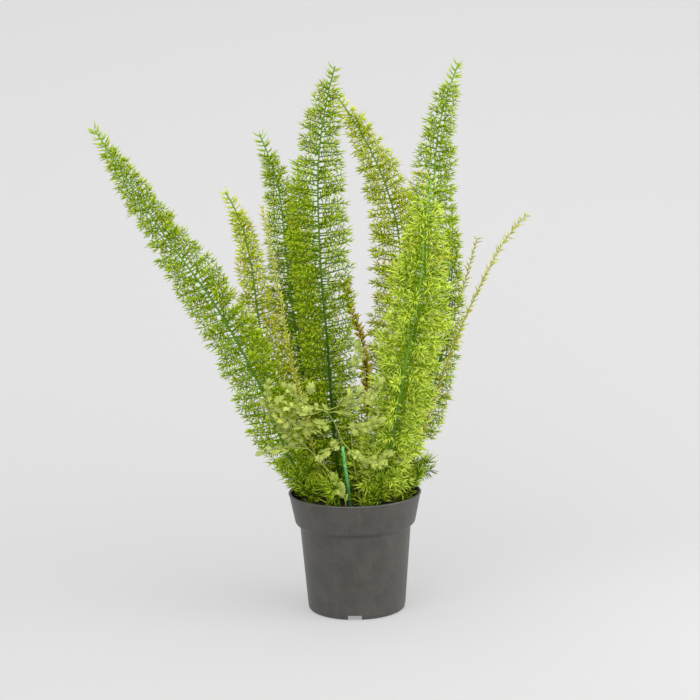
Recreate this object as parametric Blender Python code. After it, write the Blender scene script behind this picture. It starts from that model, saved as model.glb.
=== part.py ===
"""Potted foxtail fern: a tapered plastic nursery pot, its soil, nine bottlebrush plumes, young shoots,
lobed leaf sprays and short needle sprigs round the foot. Metres, +Z up, origin under the pot's centre.
"""

import math
import random
from dataclasses import dataclass, field

import bmesh
import bpy
import numpy as np
from mathutils import Matrix, Vector

# Pot: a 120 mm nursery pot, every size as (radius, height) or a plain length
POT_HEIGHT = 0.1087
RIM_RADIUS = 0.0600
COLLAR_FOOT_RADIUS = 0.0543
COLLAR_FOOT_HEIGHT = 0.0815
BODY_TOP_RADIUS = 0.0502
BODY_TOP_HEIGHT = 0.0775
BODY_FOOT_RADIUS = 0.0442
FOOT_ROUNDING = 0.0036
WALL = 0.0016
LIP_DROP = 0.0022
LIP_WIDTH = 0.0016
LIP_EDGE = 0.0005
RIM_WALL = 0.0023
STEP_THICKNESS = 0.0006
FOOT_RING_INNER_RADIUS = 0.0380
CENTRE_FOOT_RADIUS = 0.0220
CHANNEL_SLOPE = 0.0020
CHANNEL_HEIGHT = 0.0040
POT_SIDES = 32
NOTCH_WIDTH = 0.0127
NOTCH_HEIGHT = 0.0035
NOTCH_COUNT = 4
NOTCH_TURN = math.radians(-93.0)
NOTCH_OVERRUN = 0.0040
DRAIN_RADIUS = 0.0030
DRAIN_CIRCLE_RADIUS = 0.0300
DRAIN_SIDES = 10

# Soil: fills the pot to a finger's width below the rim
SOIL_TOP = 0.0980
SOIL_CROWN = 0.0995
SOIL_EDGE_GAP = 0.0004
SOIL_SIDES = 24
ROOT_DEPTH = 0.0160
HOLE_CLEARANCE = 0.0004
HOLE_HEADROOM = 0.0060
HOLE_SIDES = 6

# Plumes: whorls of three arms, each arm ends in a star of needles
STEM_FOOT_RADIUS = 0.0013
STEM_TIP_RADIUS = 0.0007
WHORL_STEP = 0.0245
WHORL_BAND = 0.0022
WHORL_TURN = math.radians(50.0)
ARM_LIFT = math.radians(22.0)
ARM_LIFT_SPREAD = math.radians(7.0)
ARM_CORE_SHARE = 0.62
ARM_HALF_WIDTH = 0.00055
ARM_COLLAR = 0.0024
NEEDLE_LENGTH = 0.0085
NEEDLE_SPREAD = math.radians(52.0)
TIP_STRETCH = 0.034
TIP_STEP = 0.0085
TIP_NEEDLE_ANGLE = math.radians(42.0)
TAPER_STRETCH = 0.120
BARE_RING_STEP = 0.028

# Room: how far each stem may claim the space beside it, and how far a short arm or needle may shrink
NODE_GAP = 0.0016
BARE_CLAIM = 0.0020
CLAIM_RAMP = 0.030
TIP_CLAIM_SHARE = 0.45
ARM_SHARES = (1.0, 0.85, 0.7, 0.55, 0.4)
NEEDLE_SHARES = (1.0, 0.7, 0.45)
LEAF_SHARES = (1.0, 0.8, 0.6)
LINE_SHARES = (0.3, 0.5, 0.75, 1.0)

# Young shoots: short bracts, three at each step
BRACT_ANGLES = (math.radians(40.0), math.radians(69.0))

# Sprigs: short whorled shoots that cover the pot's mouth and lean over its rim
OUTER_SPRIGS = 9
OUTER_SPRIG_CIRCLE = 0.0475
OUTER_SPRIG_LEAN = (0.010, 0.020)
OUTER_SPRIG_HEIGHT = (0.026, 0.040)
INNER_SPRIGS = 3
INNER_SPRIG_CENTRE = Vector((0.001, 0.012, SOIL_TOP + 0.001))
INNER_SPRIG_CIRCLE = 0.012
INNER_SPRIG_LEAN = 0.004
INNER_SPRIG_HEIGHT = (0.034, 0.044)
SPRIG_STEM_RADIUS = 0.0010
SPRIG_BARE = 0.008
SPRIG_POINT = 0.004
SPRIG_STEP = 0.0075
SPRIG_NEEDLE = 0.0105
SPRIG_NEEDLE_ANGLE = math.radians(58.0)

# Lobed leaflets: size from the stalk to the tip, and half width at the lobes
LEAF_LENGTH = 0.0105
LEAF_HALF_WIDTH = 0.0034
LEAF_HALF_THICKNESS = 0.00035
LEAF_STEP = 0.0110
LEAF_JOIN_GAP = 0.0035
LEAF_STALK_SHARE = 0.22
LEAF_SHOULDER_SHARE = 0.42
LEAF_LOBE_SHARE = 0.74
LEAF_SIDE_LOBE = 0.55
LEAF_SPLAY = math.radians(58.0)
LEAF_FACE = Vector((0.0, -0.78, 0.62))
LEAF_STEM_RADIUS = 0.0008

# Bare stalk that carries the middle leaf spray
STALK_RADIUS = 0.0014
STALK_RINGS = 5
STALK_SIDES = 6
SEAT_GAP = 0.0003

# Colours as linear RGB
GREEN_DEEP = (0.075, 0.255, 0.030)
GREEN_MID = (0.150, 0.360, 0.035)
GREEN_BRIGHT = (0.300, 0.520, 0.045)
GREEN_YELLOW = (0.400, 0.430, 0.035)
OLIVE = (0.330, 0.270, 0.050)
BROWN = (0.180, 0.095, 0.035)
PALE_LEAF = (0.440, 0.600, 0.130)
STALK_GREEN = (0.080, 0.480, 0.110)
SOIL_BROWN = (0.060, 0.040, 0.028)
POT_GREY = (0.105, 0.098, 0.088)


@dataclass
class Plume:
    """A bottlebrush plume: its route from the soil to the tip, its reach and where its arms start."""

    name: str
    colour: tuple
    reach: float
    bare: float
    route: list


@dataclass
class Shoot:
    """A thin young shoot whose bracts stand straight on the stem."""

    name: str
    colour: tuple
    bract: float
    step: float
    bare: float
    route: list


@dataclass
class Branch:
    """One branch of a leaf spray: its route, where its leaflets start, and its own side branches.

    The route of a side branch starts on its parent, so it leaves that first point out.
    """

    route: list
    bare: float = 0.0
    joins_at: float = 0.0
    sides: list = field(default_factory=list)

    def __post_init__(self) -> None:
        self.route = [Vector(point) for point in self.route]


PLUMES = [
    Plume("plume_far_left", GREEN_BRIGHT, 0.027, 0.040, [
        (-0.038, -0.016, 0.098), (-0.061, -0.022, 0.153), (-0.081, -0.026, 0.209),
        (-0.119, -0.030, 0.285), (-0.163, -0.033, 0.351), (-0.220, -0.034, 0.444)]),
    Plume("plume_short_left", GREEN_YELLOW, 0.019, 0.060, [
        (-0.031, 0.004, 0.098), (-0.063, 0.012, 0.191), (-0.082, 0.020, 0.254),
        (-0.089, 0.026, 0.310), (-0.096, 0.029, 0.346), (-0.113, 0.030, 0.382)]),
    Plume("plume_left", GREEN_MID, 0.024, 0.050, [
        (-0.024, 0.022, 0.098), (-0.038, 0.038, 0.165), (-0.050, 0.050, 0.237),
        (-0.059, 0.058, 0.323), (-0.065, 0.061, 0.382), (-0.082, 0.062, 0.431)]),
    Plume("plume_back_left", GREEN_MID, 0.026, 0.060, [
        (-0.008, 0.035, 0.098), (-0.024, 0.060, 0.175), (-0.040, 0.075, 0.254),
        (-0.044, 0.087, 0.320), (-0.047, 0.095, 0.402)]),
    Plume("plume_centre", GREEN_DEEP, 0.028, 0.050, [
        (-0.012, -0.004, 0.098), (-0.018, -0.005, 0.165), (-0.021, -0.006, 0.231),
        (-0.027, -0.006, 0.333), (-0.025, -0.004, 0.420), (-0.009, -0.004, 0.494)]),
    Plume("plume_arching", GREEN_YELLOW, 0.025, 0.060, [
        (0.012, 0.024, 0.098), (0.030, 0.033, 0.180), (0.043, 0.036, 0.260),
        (0.043, 0.039, 0.343), (0.019, 0.040, 0.415), (-0.012, 0.040, 0.465)]),
    Plume("plume_tall_right", GREEN_BRIGHT, 0.026, 0.055, [
        (0.029, 0.004, 0.098), (0.047, 0.005, 0.190), (0.062, 0.008, 0.281),
        (0.073, 0.008, 0.351), (0.082, 0.008, 0.441), (0.100, 0.008, 0.494)]),
    Plume("plume_right_back", GREEN_MID, 0.025, 0.050, [
        (0.035, 0.024, 0.098), (0.058, 0.033, 0.150), (0.080, 0.045, 0.215),
        (0.092, 0.052, 0.290), (0.093, 0.055, 0.360)]),
    Plume("plume_front_right", GREEN_BRIGHT, 0.029, 0.035, [
        (0.017, -0.026, 0.098), (0.034, -0.044, 0.165), (0.046, -0.056, 0.233),
        (0.060, -0.061, 0.307), (0.065, -0.062, 0.359), (0.071, -0.062, 0.399)]),
]

SHOOTS = [
    Shoot("shoot_right", OLIVE, 0.0085, 0.0155, 0.070, [
        (0.041, -0.012, 0.098), (0.060, -0.006, 0.155), (0.081, 0.004, 0.214),
        (0.115, 0.016, 0.289), (0.141, 0.020, 0.334), (0.159, 0.020, 0.355)]),
    Shoot("shoot_right_back", OLIVE, 0.0080, 0.0155, 0.110, [
        (0.023, 0.040, 0.098), (0.062, 0.062, 0.170), (0.098, 0.076, 0.262), (0.117, 0.080, 0.326)]),
    Shoot("shoot_left", OLIVE, 0.0075, 0.0165, 0.070, [
        (-0.023, -0.026, 0.098), (-0.040, -0.032, 0.170), (-0.056, -0.037, 0.252),
        (-0.067, -0.040, 0.324), (-0.076, -0.041, 0.372)]),
    Shoot("bract_shoot", BROWN, 0.0070, 0.0120, 0.095, [
        (0.007, 0.007, 0.098), (0.013, 0.016, 0.189), (0.008, 0.018, 0.247),
        (0.001, 0.018, 0.268), (-0.006, 0.018, 0.294)]),
]

LEFT_SPRAY = Branch(
    route=[(-0.011, -0.043, 0.098), (-0.019, -0.053, 0.134), (-0.044, -0.065, 0.167),
           (-0.066, -0.071, 0.186), (-0.075, -0.074, 0.209), (-0.073, -0.075, 0.222)],
    bare=0.034,
    sides=[Branch(joins_at=0.52, bare=0.006, route=[(-0.058, -0.071, 0.160), (-0.077, -0.074, 0.164)])])

MIDDLE_SPRAY = Branch(
    route=[(-0.014, -0.062, 0.179), (-0.024, -0.072, 0.197), (-0.041, -0.080, 0.206),
           (-0.057, -0.086, 0.222)],
    bare=0.050,
    sides=[Branch(joins_at=0.16, bare=0.004, route=[(-0.030, -0.068, 0.158)]),
           Branch(joins_at=0.27, bare=0.008, route=[(0.005, -0.072, 0.182), (0.022, -0.077, 0.186)]),
           Branch(joins_at=0.38, bare=0.006, route=[(-0.034, -0.074, 0.181), (-0.059, -0.085, 0.188)]),
           Branch(joins_at=0.49, bare=0.010, route=[
               (-0.006, -0.078, 0.202), (0.013, -0.083, 0.209), (0.023, -0.084, 0.224)])])

RIGHT_SPRAY = Branch(
    route=[(0.006, -0.038, 0.098), (-0.001, -0.044, 0.151), (-0.002, -0.048, 0.202),
           (0.003, -0.050, 0.229), (0.007, -0.052, 0.251)],
    bare=0.070,
    sides=[Branch(joins_at=0.34, bare=0.006, route=[(0.018, -0.060, 0.146), (0.029, -0.063, 0.150)])])

STALK_ROUTE = [(-0.004, -0.026, 0.098), (-0.007, -0.046, 0.132), (-0.010, -0.056, 0.162)]


class Path:
    """A smooth curve through a route's points, measured by its length, with a frame that never twists.

    Args:
        route: the points that the curve passes through, in metres.
        first_direction: direction at the first point, or None for the curve's own.
    """

    SAMPLES_PER_SPAN = 24

    def __init__(self, route: list, first_direction: Vector = None) -> None:
        points = np.array(route, float)
        knots = np.concatenate([[0.0], np.cumsum(np.linalg.norm(np.diff(points, axis=0), axis=1))])
        slopes = np.gradient(points, knots, axis=0, edge_order=2 if len(route) > 2 else 1)
        if first_direction is not None:
            slopes[0] = np.array(first_direction)
        self.points = self._sample(points, knots, slopes)
        steps = np.linalg.norm(np.diff(self.points, axis=0), axis=1)
        self.lengths = np.concatenate([[0.0], np.cumsum(steps)])
        self.length = float(self.lengths[-1])
        tangents = np.gradient(self.points, self.lengths, axis=0)
        self.tangents = tangents / np.linalg.norm(tangents, axis=1)[:, None]
        self.normals = self._carry_normal()

    def _sample(self, points: np.ndarray, knots: np.ndarray, slopes: np.ndarray) -> np.ndarray:
        """Return close points along the Hermite spans between the route's points."""
        rows = [points[:1]]
        share = np.linspace(0.0, 1.0, self.SAMPLES_PER_SPAN + 1)[1:, None]
        for index in range(len(points) - 1):
            span = knots[index + 1] - knots[index]
            rows.append(
                (2 * share**3 - 3 * share**2 + 1) * points[index]
                + (share**3 - 2 * share**2 + share) * span * slopes[index]
                + (3 * share**2 - 2 * share**3) * points[index + 1]
                + (share**3 - share**2) * span * slopes[index + 1])
        return np.concatenate(rows)

    def _carry_normal(self) -> np.ndarray:
        """Carry one normal along the curve, so that rings stay in line with each other."""
        normal = np.cross(self.tangents[0], (0.0, 1.0, 0.0))
        rows = []
        for tangent in self.tangents:
            normal = normal - tangent * normal.dot(tangent)
            normal = normal / np.linalg.norm(normal)
            rows.append(normal)
        return np.array(rows)

    def _read(self, table: np.ndarray, distance: float) -> Vector:
        return Vector([float(np.interp(distance, self.lengths, table[:, axis])) for axis in range(3)])

    def point(self, distance: float) -> Vector:
        """Return the point at a distance; below zero the curve runs on straight into the soil."""
        if distance < 0.0:
            return self._read(self.points, 0.0) + self.tangent(0.0) * distance
        return self._read(self.points, distance)

    def tangent(self, distance: float) -> Vector:
        """Return the unit direction of the curve at a distance."""
        return self._read(self.tangents, distance).normalized()

    def across(self, distance: float, turn: float) -> Vector:
        """Return the unit vector across the curve at a distance, turned about the curve by an angle."""
        tangent = self.tangent(distance)
        normal = self._read(self.normals, distance)
        normal = (normal - tangent * normal.dot(tangent)).normalized()
        return Matrix.Rotation(turn, 3, tangent) @ normal


def standing_path(route: list) -> Path:
    """Return the path of a stem that leaves the soil a little steeper than its route does."""
    towards = (Vector(route[1]) - Vector(route[0])).normalized()
    return Path(route, (towards + Vector((0.0, 0.0, 0.9))).normalized())


class Room:
    """Keeps the pieces apart: a point belongs to the stem that is nearest for that stem's reach."""

    def __init__(self) -> None:
        self.owners = []
        self.points = []
        self.claims = []

    def add(self, owner: str, path: Path, claims: np.ndarray) -> None:
        """Enter a stem's points with the reach that each of them claims."""
        self.points.append(path.points)
        self.claims.append(claims)
        self.owners.extend([owner] * len(path.points))

    def close(self) -> None:
        """Join the entries into arrays once every stem is in."""
        self.points = np.concatenate(self.points)
        self.claims = np.concatenate(self.claims)
        self.owners = np.array(self.owners)

    def free(self, owner: str, point: Vector) -> bool:
        """Return whether a point lies in its owner's room, clear of the rim and of every other stem's."""
        if point.z < POT_HEIGHT + NODE_GAP and point.xy.length > pot_inner_radius(point.z) - NODE_GAP:
            return False
        away = np.linalg.norm(self.points - np.array(point), axis=1)
        mine = self.owners == owner
        own_share = (away[mine] / self.claims[mine]).min()
        other_share = ((away[~mine] - NODE_GAP) / self.claims[~mine]).min()
        return own_share < other_share

    def line_free(self, owner: str, start: Vector, end: Vector) -> bool:
        """Return whether the outer part of a straight line lies in its owner's room."""
        return all(self.free(owner, start.lerp(end, share)) for share in LINE_SHARES)


def claim_profile(path: Path, bare: float, reach: float, taper: float) -> np.ndarray:
    """Return the reach claimed along a path: slim where it is bare, full above, narrow at the tip."""
    rise = np.clip((path.lengths - bare) / CLAIM_RAMP, 0.0, 1.0)
    fall = np.clip((path.length - path.lengths) / taper, 0.0, 1.0)
    full = reach * (TIP_CLAIM_SHARE + (1.0 - TIP_CLAIM_SHARE) * np.sqrt(fall))
    return BARE_CLAIM + rise * (full - BARE_CLAIM)


def material(name: str, colour: tuple, roughness: float) -> bpy.types.Material:
    """Return a plain Principled BSDF material.

    Args:
        name: the material's name.
        colour: linear RGB.
        roughness: the surface's roughness from 0 to 1.
    """
    made = bpy.data.materials.new(name)
    made.use_nodes = True
    shader = made.node_tree.nodes["Principled BSDF"]
    shader.inputs["Base Color"].default_value = (*colour, 1.0)
    shader.inputs["Roughness"].default_value = roughness
    shader.inputs["Metallic"].default_value = 0.0
    return made


def add_object(name: str, mesh_data: bmesh.types.BMesh, colour: tuple, roughness: float) -> bpy.types.Object:
    """Turn a finished bmesh into an object of its own with its own material."""
    bmesh.ops.triangulate(mesh_data, faces=mesh_data.faces[:])
    mesh = bpy.data.meshes.new(name)
    mesh_data.to_mesh(mesh)
    mesh_data.free()
    mesh.materials.append(material(name, colour, roughness))
    made = bpy.data.objects.new(name, mesh)
    bpy.context.scene.collection.objects.link(made)
    return made


def add_cutter(name: str, mesh_data: bmesh.types.BMesh, target: bpy.types.Object) -> None:
    """Cut a target with the solids of a bmesh, which stay in the scene as a hidden wire object."""
    cutter = add_object(name, mesh_data, SOIL_BROWN, 1.0)
    cutter.hide_render = True
    cutter.display_type = "WIRE"
    cut = target.modifiers.new(name, "BOOLEAN")
    cut.operation = "DIFFERENCE"
    cut.solver = "EXACT"
    cut.object = cutter


def turned(profile: list, sides: int) -> bmesh.types.BMesh:
    """Return the closed solid that a profile makes when it is turned about the vertical axis.

    Args:
        profile: (radius, height) pairs from the axis below, out and up, and back to the axis above.
        sides: how many flat sides approach the round.
    """
    solid = bmesh.new()
    verts = [solid.verts.new((radius, 0.0, height)) for radius, height in profile]
    edges = [solid.edges.new(pair) for pair in zip(verts, verts[1:])]
    bmesh.ops.spin(solid, geom=verts + edges, cent=(0, 0, 0), axis=(0, 0, 1), angle=math.tau,
                   steps=sides, use_merge=True)
    bmesh.ops.remove_doubles(solid, verts=solid.verts[:], dist=1e-6)
    bmesh.ops.recalc_face_normals(solid, faces=solid.faces[:])
    return solid


def pot_inner_radius(height: float) -> float:
    """Return the radius of the pot's inside at a height above its floor."""
    return float(np.interp(
        height,
        [2 * CHANNEL_HEIGHT, BODY_TOP_HEIGHT + STEP_THICKNESS, COLLAR_FOOT_HEIGHT + STEP_THICKNESS,
         POT_HEIGHT - LIP_DROP],
        [BODY_FOOT_RADIUS - WALL, BODY_TOP_RADIUS - WALL, COLLAR_FOOT_RADIUS - WALL, RIM_RADIUS - RIM_WALL]))


def make_pot() -> None:
    """Make the pot: stepped collar, rolled lip, foot ring with notches, raised floor with drain holes."""
    floor_top = CHANNEL_HEIGHT + WALL
    rounding = [
        (BODY_FOOT_RADIUS - FOOT_ROUNDING * (1 - math.sin(turn)), FOOT_ROUNDING * (1 - math.cos(turn)))
        for turn in (0.0, math.pi / 4, math.pi / 2)]
    profile = [(0.0, 0.0), (CENTRE_FOOT_RADIUS, 0.0),
               (CENTRE_FOOT_RADIUS + CHANNEL_SLOPE, CHANNEL_HEIGHT),
               (FOOT_RING_INNER_RADIUS - CHANNEL_SLOPE, CHANNEL_HEIGHT), (FOOT_RING_INNER_RADIUS, 0.0)]
    profile += rounding
    profile += [(BODY_TOP_RADIUS, BODY_TOP_HEIGHT), (COLLAR_FOOT_RADIUS, COLLAR_FOOT_HEIGHT),
                (RIM_RADIUS - LIP_EDGE, POT_HEIGHT - LIP_DROP), (RIM_RADIUS, POT_HEIGHT - 0.5 * LIP_DROP),
                (RIM_RADIUS - LIP_EDGE, POT_HEIGHT), (RIM_RADIUS - LIP_WIDTH, POT_HEIGHT)]
    for height in (POT_HEIGHT - LIP_DROP, COLLAR_FOOT_HEIGHT + STEP_THICKNESS,
                   BODY_TOP_HEIGHT + STEP_THICKNESS, 2 * CHANNEL_HEIGHT):
        profile.append((pot_inner_radius(height), height))
    profile += [(FOOT_RING_INNER_RADIUS, floor_top), (CENTRE_FOOT_RADIUS + STEP_THICKNESS, floor_top),
                (CENTRE_FOOT_RADIUS - CHANNEL_SLOPE, WALL), (0.0, WALL)]
    pot = add_object("pot", turned(profile, POT_SIDES), POT_GREY, 0.62)

    openings = bmesh.new()
    inner = 0.5 * (CENTRE_FOOT_RADIUS + FOOT_RING_INNER_RADIUS)
    outer = BODY_FOOT_RADIUS + NOTCH_OVERRUN
    notch_size = Matrix.Diagonal((outer - inner, NOTCH_WIDTH, 2 * NOTCH_HEIGHT, 1.0))
    for index in range(NOTCH_COUNT):
        turn = Matrix.Rotation(NOTCH_TURN + index * math.tau / NOTCH_COUNT, 4, "Z")
        place = turn @ Matrix.Translation((0.5 * (inner + outer), 0.0, 0.0)) @ notch_size
        bmesh.ops.create_cube(openings, size=1.0, matrix=place)
    for index in range(NOTCH_COUNT):
        turn = Matrix.Rotation(NOTCH_TURN + (index + 0.5) * math.tau / NOTCH_COUNT, 4, "Z")
        place = turn @ Matrix.Translation((DRAIN_CIRCLE_RADIUS, 0.0, CHANNEL_HEIGHT + WALL / 2))
        bmesh.ops.create_cone(openings, cap_ends=True, segments=DRAIN_SIDES, radius1=DRAIN_RADIUS,
                              radius2=DRAIN_RADIUS, depth=4 * WALL, matrix=place)
    add_cutter("pot_openings", openings, pot)


def make_soil(stems: list) -> None:
    """Make the soil as one body that fills the pot, with a plain hole for each stem.

    Args:
        stems: (path, radius at the foot) of everything that stands in the soil.
    """
    floor_top = CHANNEL_HEIGHT + WALL
    gap = SOIL_EDGE_GAP
    profile = [(0.0, WALL + gap), (CENTRE_FOOT_RADIUS - CHANNEL_SLOPE - gap, WALL + gap),
               (CENTRE_FOOT_RADIUS, floor_top + gap), (FOOT_RING_INNER_RADIUS - gap, floor_top + gap)]
    for height in (2 * CHANNEL_HEIGHT + 2 * gap, BODY_TOP_HEIGHT + 2 * gap, COLLAR_FOOT_HEIGHT + 3 * gap,
                   SOIL_TOP):
        profile.append((pot_inner_radius(height) - 2 * gap, height))
    profile += [(0.0, SOIL_CROWN)]
    soil = add_object("soil", turned(profile, SOIL_SIDES), SOIL_BROWN, 0.95)

    holes = bmesh.new()
    depth = ROOT_DEPTH + HOLE_CLEARANCE
    for path, radius in stems:
        wide = (radius + HOLE_CLEARANCE) / math.cos(math.pi / HOLE_SIDES)
        tangent = path.tangent(0.0)
        middle = path.point(0.0) + tangent * (HOLE_HEADROOM - depth) / 2
        place = Matrix.Translation(middle) @ tangent.to_track_quat("Z", "Y").to_matrix().to_4x4()
        bmesh.ops.create_cone(holes, cap_ends=True, segments=HOLE_SIDES, radius1=wide, radius2=wide,
                              depth=depth + HOLE_HEADROOM, matrix=place)
    add_cutter("stem_holes", holes, soil)


class Stem:
    """A closed stem that grows ring by ring, whose bands can carry arms, needles or leaflets.

    Args:
        name: the piece's name.
        path: the curve that the stem follows.
        sides: how many flat sides the stem has.
        foot_radius: its radius at the soil.
        tip_radius: its radius at the tip.
        room: the room that keeps pieces apart.
    """

    def __init__(self, name: str, path: Path, sides: int, foot_radius: float, tip_radius: float,
                 room: Room) -> None:
        self.name = name
        self.path = path
        self.sides = sides
        self.foot_radius = foot_radius
        self.tip_radius = tip_radius
        self.room = room
        self.solid = bmesh.new()
        self.ring = None

    def radius(self, distance: float) -> float:
        """Return the stem's radius at a distance from the soil."""
        share = min(max(distance / self.path.length, 0.0), 1.0)
        return self.foot_radius + (self.tip_radius - self.foot_radius) * share

    def add_ring(self, distance: float, turn: float) -> list:
        """Add one ring and return the band of faces that joins it to the ring before."""
        centre = self.path.point(distance)
        fresh = []
        for index in range(self.sides):
            across = self.path.across(max(distance, 0.0), turn + index * math.tau / self.sides)
            fresh.append(self.solid.verts.new(centre + across * self.radius(distance)))
        band = []
        if self.ring is None:
            self.solid.faces.new(list(reversed(fresh)))
        else:
            for index in range(self.sides):
                after = (index + 1) % self.sides
                corners = (self.ring[index], self.ring[after], fresh[after], fresh[index])
                band.append(self.solid.faces.new(corners))
        self.ring = fresh
        return band

    def add_bare(self, length: float, turn: float) -> None:
        """Add the rings of the root and of a bare stretch above it, up to just short of its length."""
        self.add_ring(-ROOT_DEPTH, turn)
        rings = max(1, round(length / BARE_RING_STEP))
        for index in range(rings):
            self.add_ring(length * index / rings, turn)

    def add_whorls(self, start: float, end: float, step: float, turn: float) -> list:
        """Add evenly spaced short bands, each turned on from the one before.

        Args:
            start: distance of the first band.
            end: distance that the last band stays one step short of.
            step: about how far the bands lie apart.
            turn: turn of the first band about the stem.

        Returns:
            (distance, faces) of each band.
        """
        rows = max(3, round((end - start) / step))
        bands = []
        for index in range(rows):
            distance = start + (end - start) * index / rows
            self.add_ring(distance - WHORL_BAND / 2, turn + index * WHORL_TURN)
            bands.append((distance, self.add_ring(distance + WHORL_BAND / 2, turn + index * WHORL_TURN)))
        return bands

    def add_tip(self, length: float) -> None:
        """Close the stem with a point."""
        end = self.path.length
        apex = self.solid.verts.new(self.path.point(end) + self.path.tangent(end) * length)
        for index in range(self.sides):
            self.solid.faces.new((self.ring[index], self.ring[(index + 1) % self.sides], apex))
        self.solid.normal_update()

    def add_flat_end(self) -> bmesh.types.BMFace:
        """Close the stem with a flat face and return it."""
        end = self.solid.faces.new(self.ring)
        self.solid.normal_update()
        return end

    def raise_needle(self, face: bmesh.types.BMFace, direction: Vector, length: float) -> None:
        """Raise a face into a needle, shorter or not at all where a neighbour is close."""
        foot = face.calc_center_median()
        for share in NEEDLE_SHARES:
            tip = foot + direction.normalized() * length * share
            if self.room.line_free(self.name, foot, tip):
                bmesh.ops.poke(self.solid, faces=[face])["verts"][0].co = tip
                return

    def extrude_to(self, face: bmesh.types.BMFace, centre: Vector, axes: tuple, halves: tuple) -> tuple:
        """Extrude a four-sided face to a rectangle.

        Args:
            face: the face to extrude.
            centre: middle of the rectangle.
            axes: unit vectors along its two pairs of edges; their cross product points the way it grows.
            halves: its half size along each of them.

        Returns:
            The new end face and the four faces beside it.
        """
        middle = face.calc_center_median()
        end = bmesh.ops.extrude_discrete_faces(self.solid, faces=[face])["faces"][0]
        signs = ((-1, -1), (1, -1), (1, 1), (-1, 1))
        corners = [axes[0] * halves[0] * a + axes[1] * halves[1] * b for a, b in signs]
        verts = list(end.verts)
        offsets = [(vert.co - middle).normalized() for vert in verts]

        def fit(first: int) -> float:
            return sum(offset.dot(corners[(first + index) % 4].normalized())
                       for index, offset in enumerate(offsets))

        start = max(range(4), key=fit)
        for index, vert in enumerate(verts):
            vert.co = centre + corners[(start + index) % 4]
        beside = [near for edge in end.edges for near in edge.link_faces if near is not end]
        for near in beside:
            near.normal_update()
        return end, beside

    def grow_arm(self, face: bmesh.types.BMFace, up: Vector, reach: float, lift: float) -> None:
        """Grow an arm from a face: a slim core that ends in a star of needles.

        Args:
            face: the stem's face that the arm grows from.
            up: direction of the stem there.
            reach: distance from the stem to the arm's tip.
            lift: angle of the arm above square to the stem.
        """
        foot = face.calc_center_median()
        out = (face.normal - up * face.normal.dot(up)).normalized()
        ahead = out * math.cos(lift) + up * math.sin(lift)
        side = up.cross(out).normalized()
        shares = [share for share in ARM_SHARES
                  if self.room.line_free(self.name, foot, foot + ahead * reach * share)]
        if not shares:
            return
        length = reach * shares[0]
        core = max(length - NEEDLE_LENGTH - ARM_COLLAR, ARM_CORE_SHARE * length)
        needle = min(NEEDLE_LENGTH, length - core)
        axes = (side, ahead.cross(side))
        halves = (ARM_HALF_WIDTH, ARM_HALF_WIDTH)
        end, _ = self.extrude_to(face, foot + ahead * core, axes, halves)
        end, beside = self.extrude_to(end, foot + ahead * (core + ARM_COLLAR), axes, halves)
        for near in beside:
            spread = ahead * math.cos(NEEDLE_SPREAD) + near.normal * math.sin(NEEDLE_SPREAD)
            self.raise_needle(near, spread, needle)
        self.raise_needle(end, ahead, needle)

    def finish(self, colour: tuple, roughness: float) -> None:
        """Turn the finished stem into an object."""
        add_object(self.name, self.solid, colour, roughness)


def make_plume(plume: Plume, path: Path, room: Room, seed: int) -> None:
    """Make one plume: a bare foot, whorls of arms above, and a pointed tip of short needles."""
    draw = random.Random(seed)
    stem = Stem(plume.name, path, 3, STEM_FOOT_RADIUS, STEM_TIP_RADIUS, room)
    turn = draw.uniform(0.0, math.pi)
    stem.add_bare(plume.bare, turn)
    arms_end = path.length - TIP_STRETCH
    arm_bands = stem.add_whorls(plume.bare, arms_end, WHORL_STEP, turn)
    needle_bands = stem.add_whorls(arms_end, path.length, TIP_STEP, turn + len(arm_bands) * WHORL_TURN)
    stem.add_tip(0.0)
    reaches = claim_profile(path, plume.bare - CLAIM_RAMP, plume.reach, TAPER_STRETCH)
    for distance, band in arm_bands:
        reach = float(np.interp(distance, path.lengths, reaches))
        for face in band:
            lift = ARM_LIFT + draw.uniform(-1.0, 1.0) * ARM_LIFT_SPREAD
            stem.grow_arm(face, path.tangent(distance), reach * draw.uniform(0.90, 1.0), lift)
    for distance, band in needle_bands:
        reach = float(np.interp(distance, path.lengths, reaches))
        up = path.tangent(distance) * math.cos(TIP_NEEDLE_ANGLE)
        for face in band:
            stem.raise_needle(face, up + face.normal * math.sin(TIP_NEEDLE_ANGLE), 0.85 * reach)
    stem.finish(plume.colour, 0.55)


def make_shoot(shoot: Shoot, path: Path, room: Room, seed: int) -> None:
    """Make one thin young shoot with three short bracts at each step."""
    draw = random.Random(seed)
    stem = Stem(shoot.name, path, 3, STEM_FOOT_RADIUS, STEM_TIP_RADIUS, room)
    turn = draw.uniform(0.0, math.pi)
    stem.add_bare(shoot.bare, turn)
    bands = stem.add_whorls(shoot.bare, path.length, shoot.step, turn)
    stem.add_tip(0.0)
    for distance, band in bands:
        for face in band:
            angle = draw.uniform(*BRACT_ANGLES)
            direction = path.tangent(distance) * math.cos(angle) + face.normal * math.sin(angle)
            stem.raise_needle(face, direction, shoot.bract * draw.uniform(0.75, 1.1))
    stem.finish(shoot.colour, 0.6)


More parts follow.
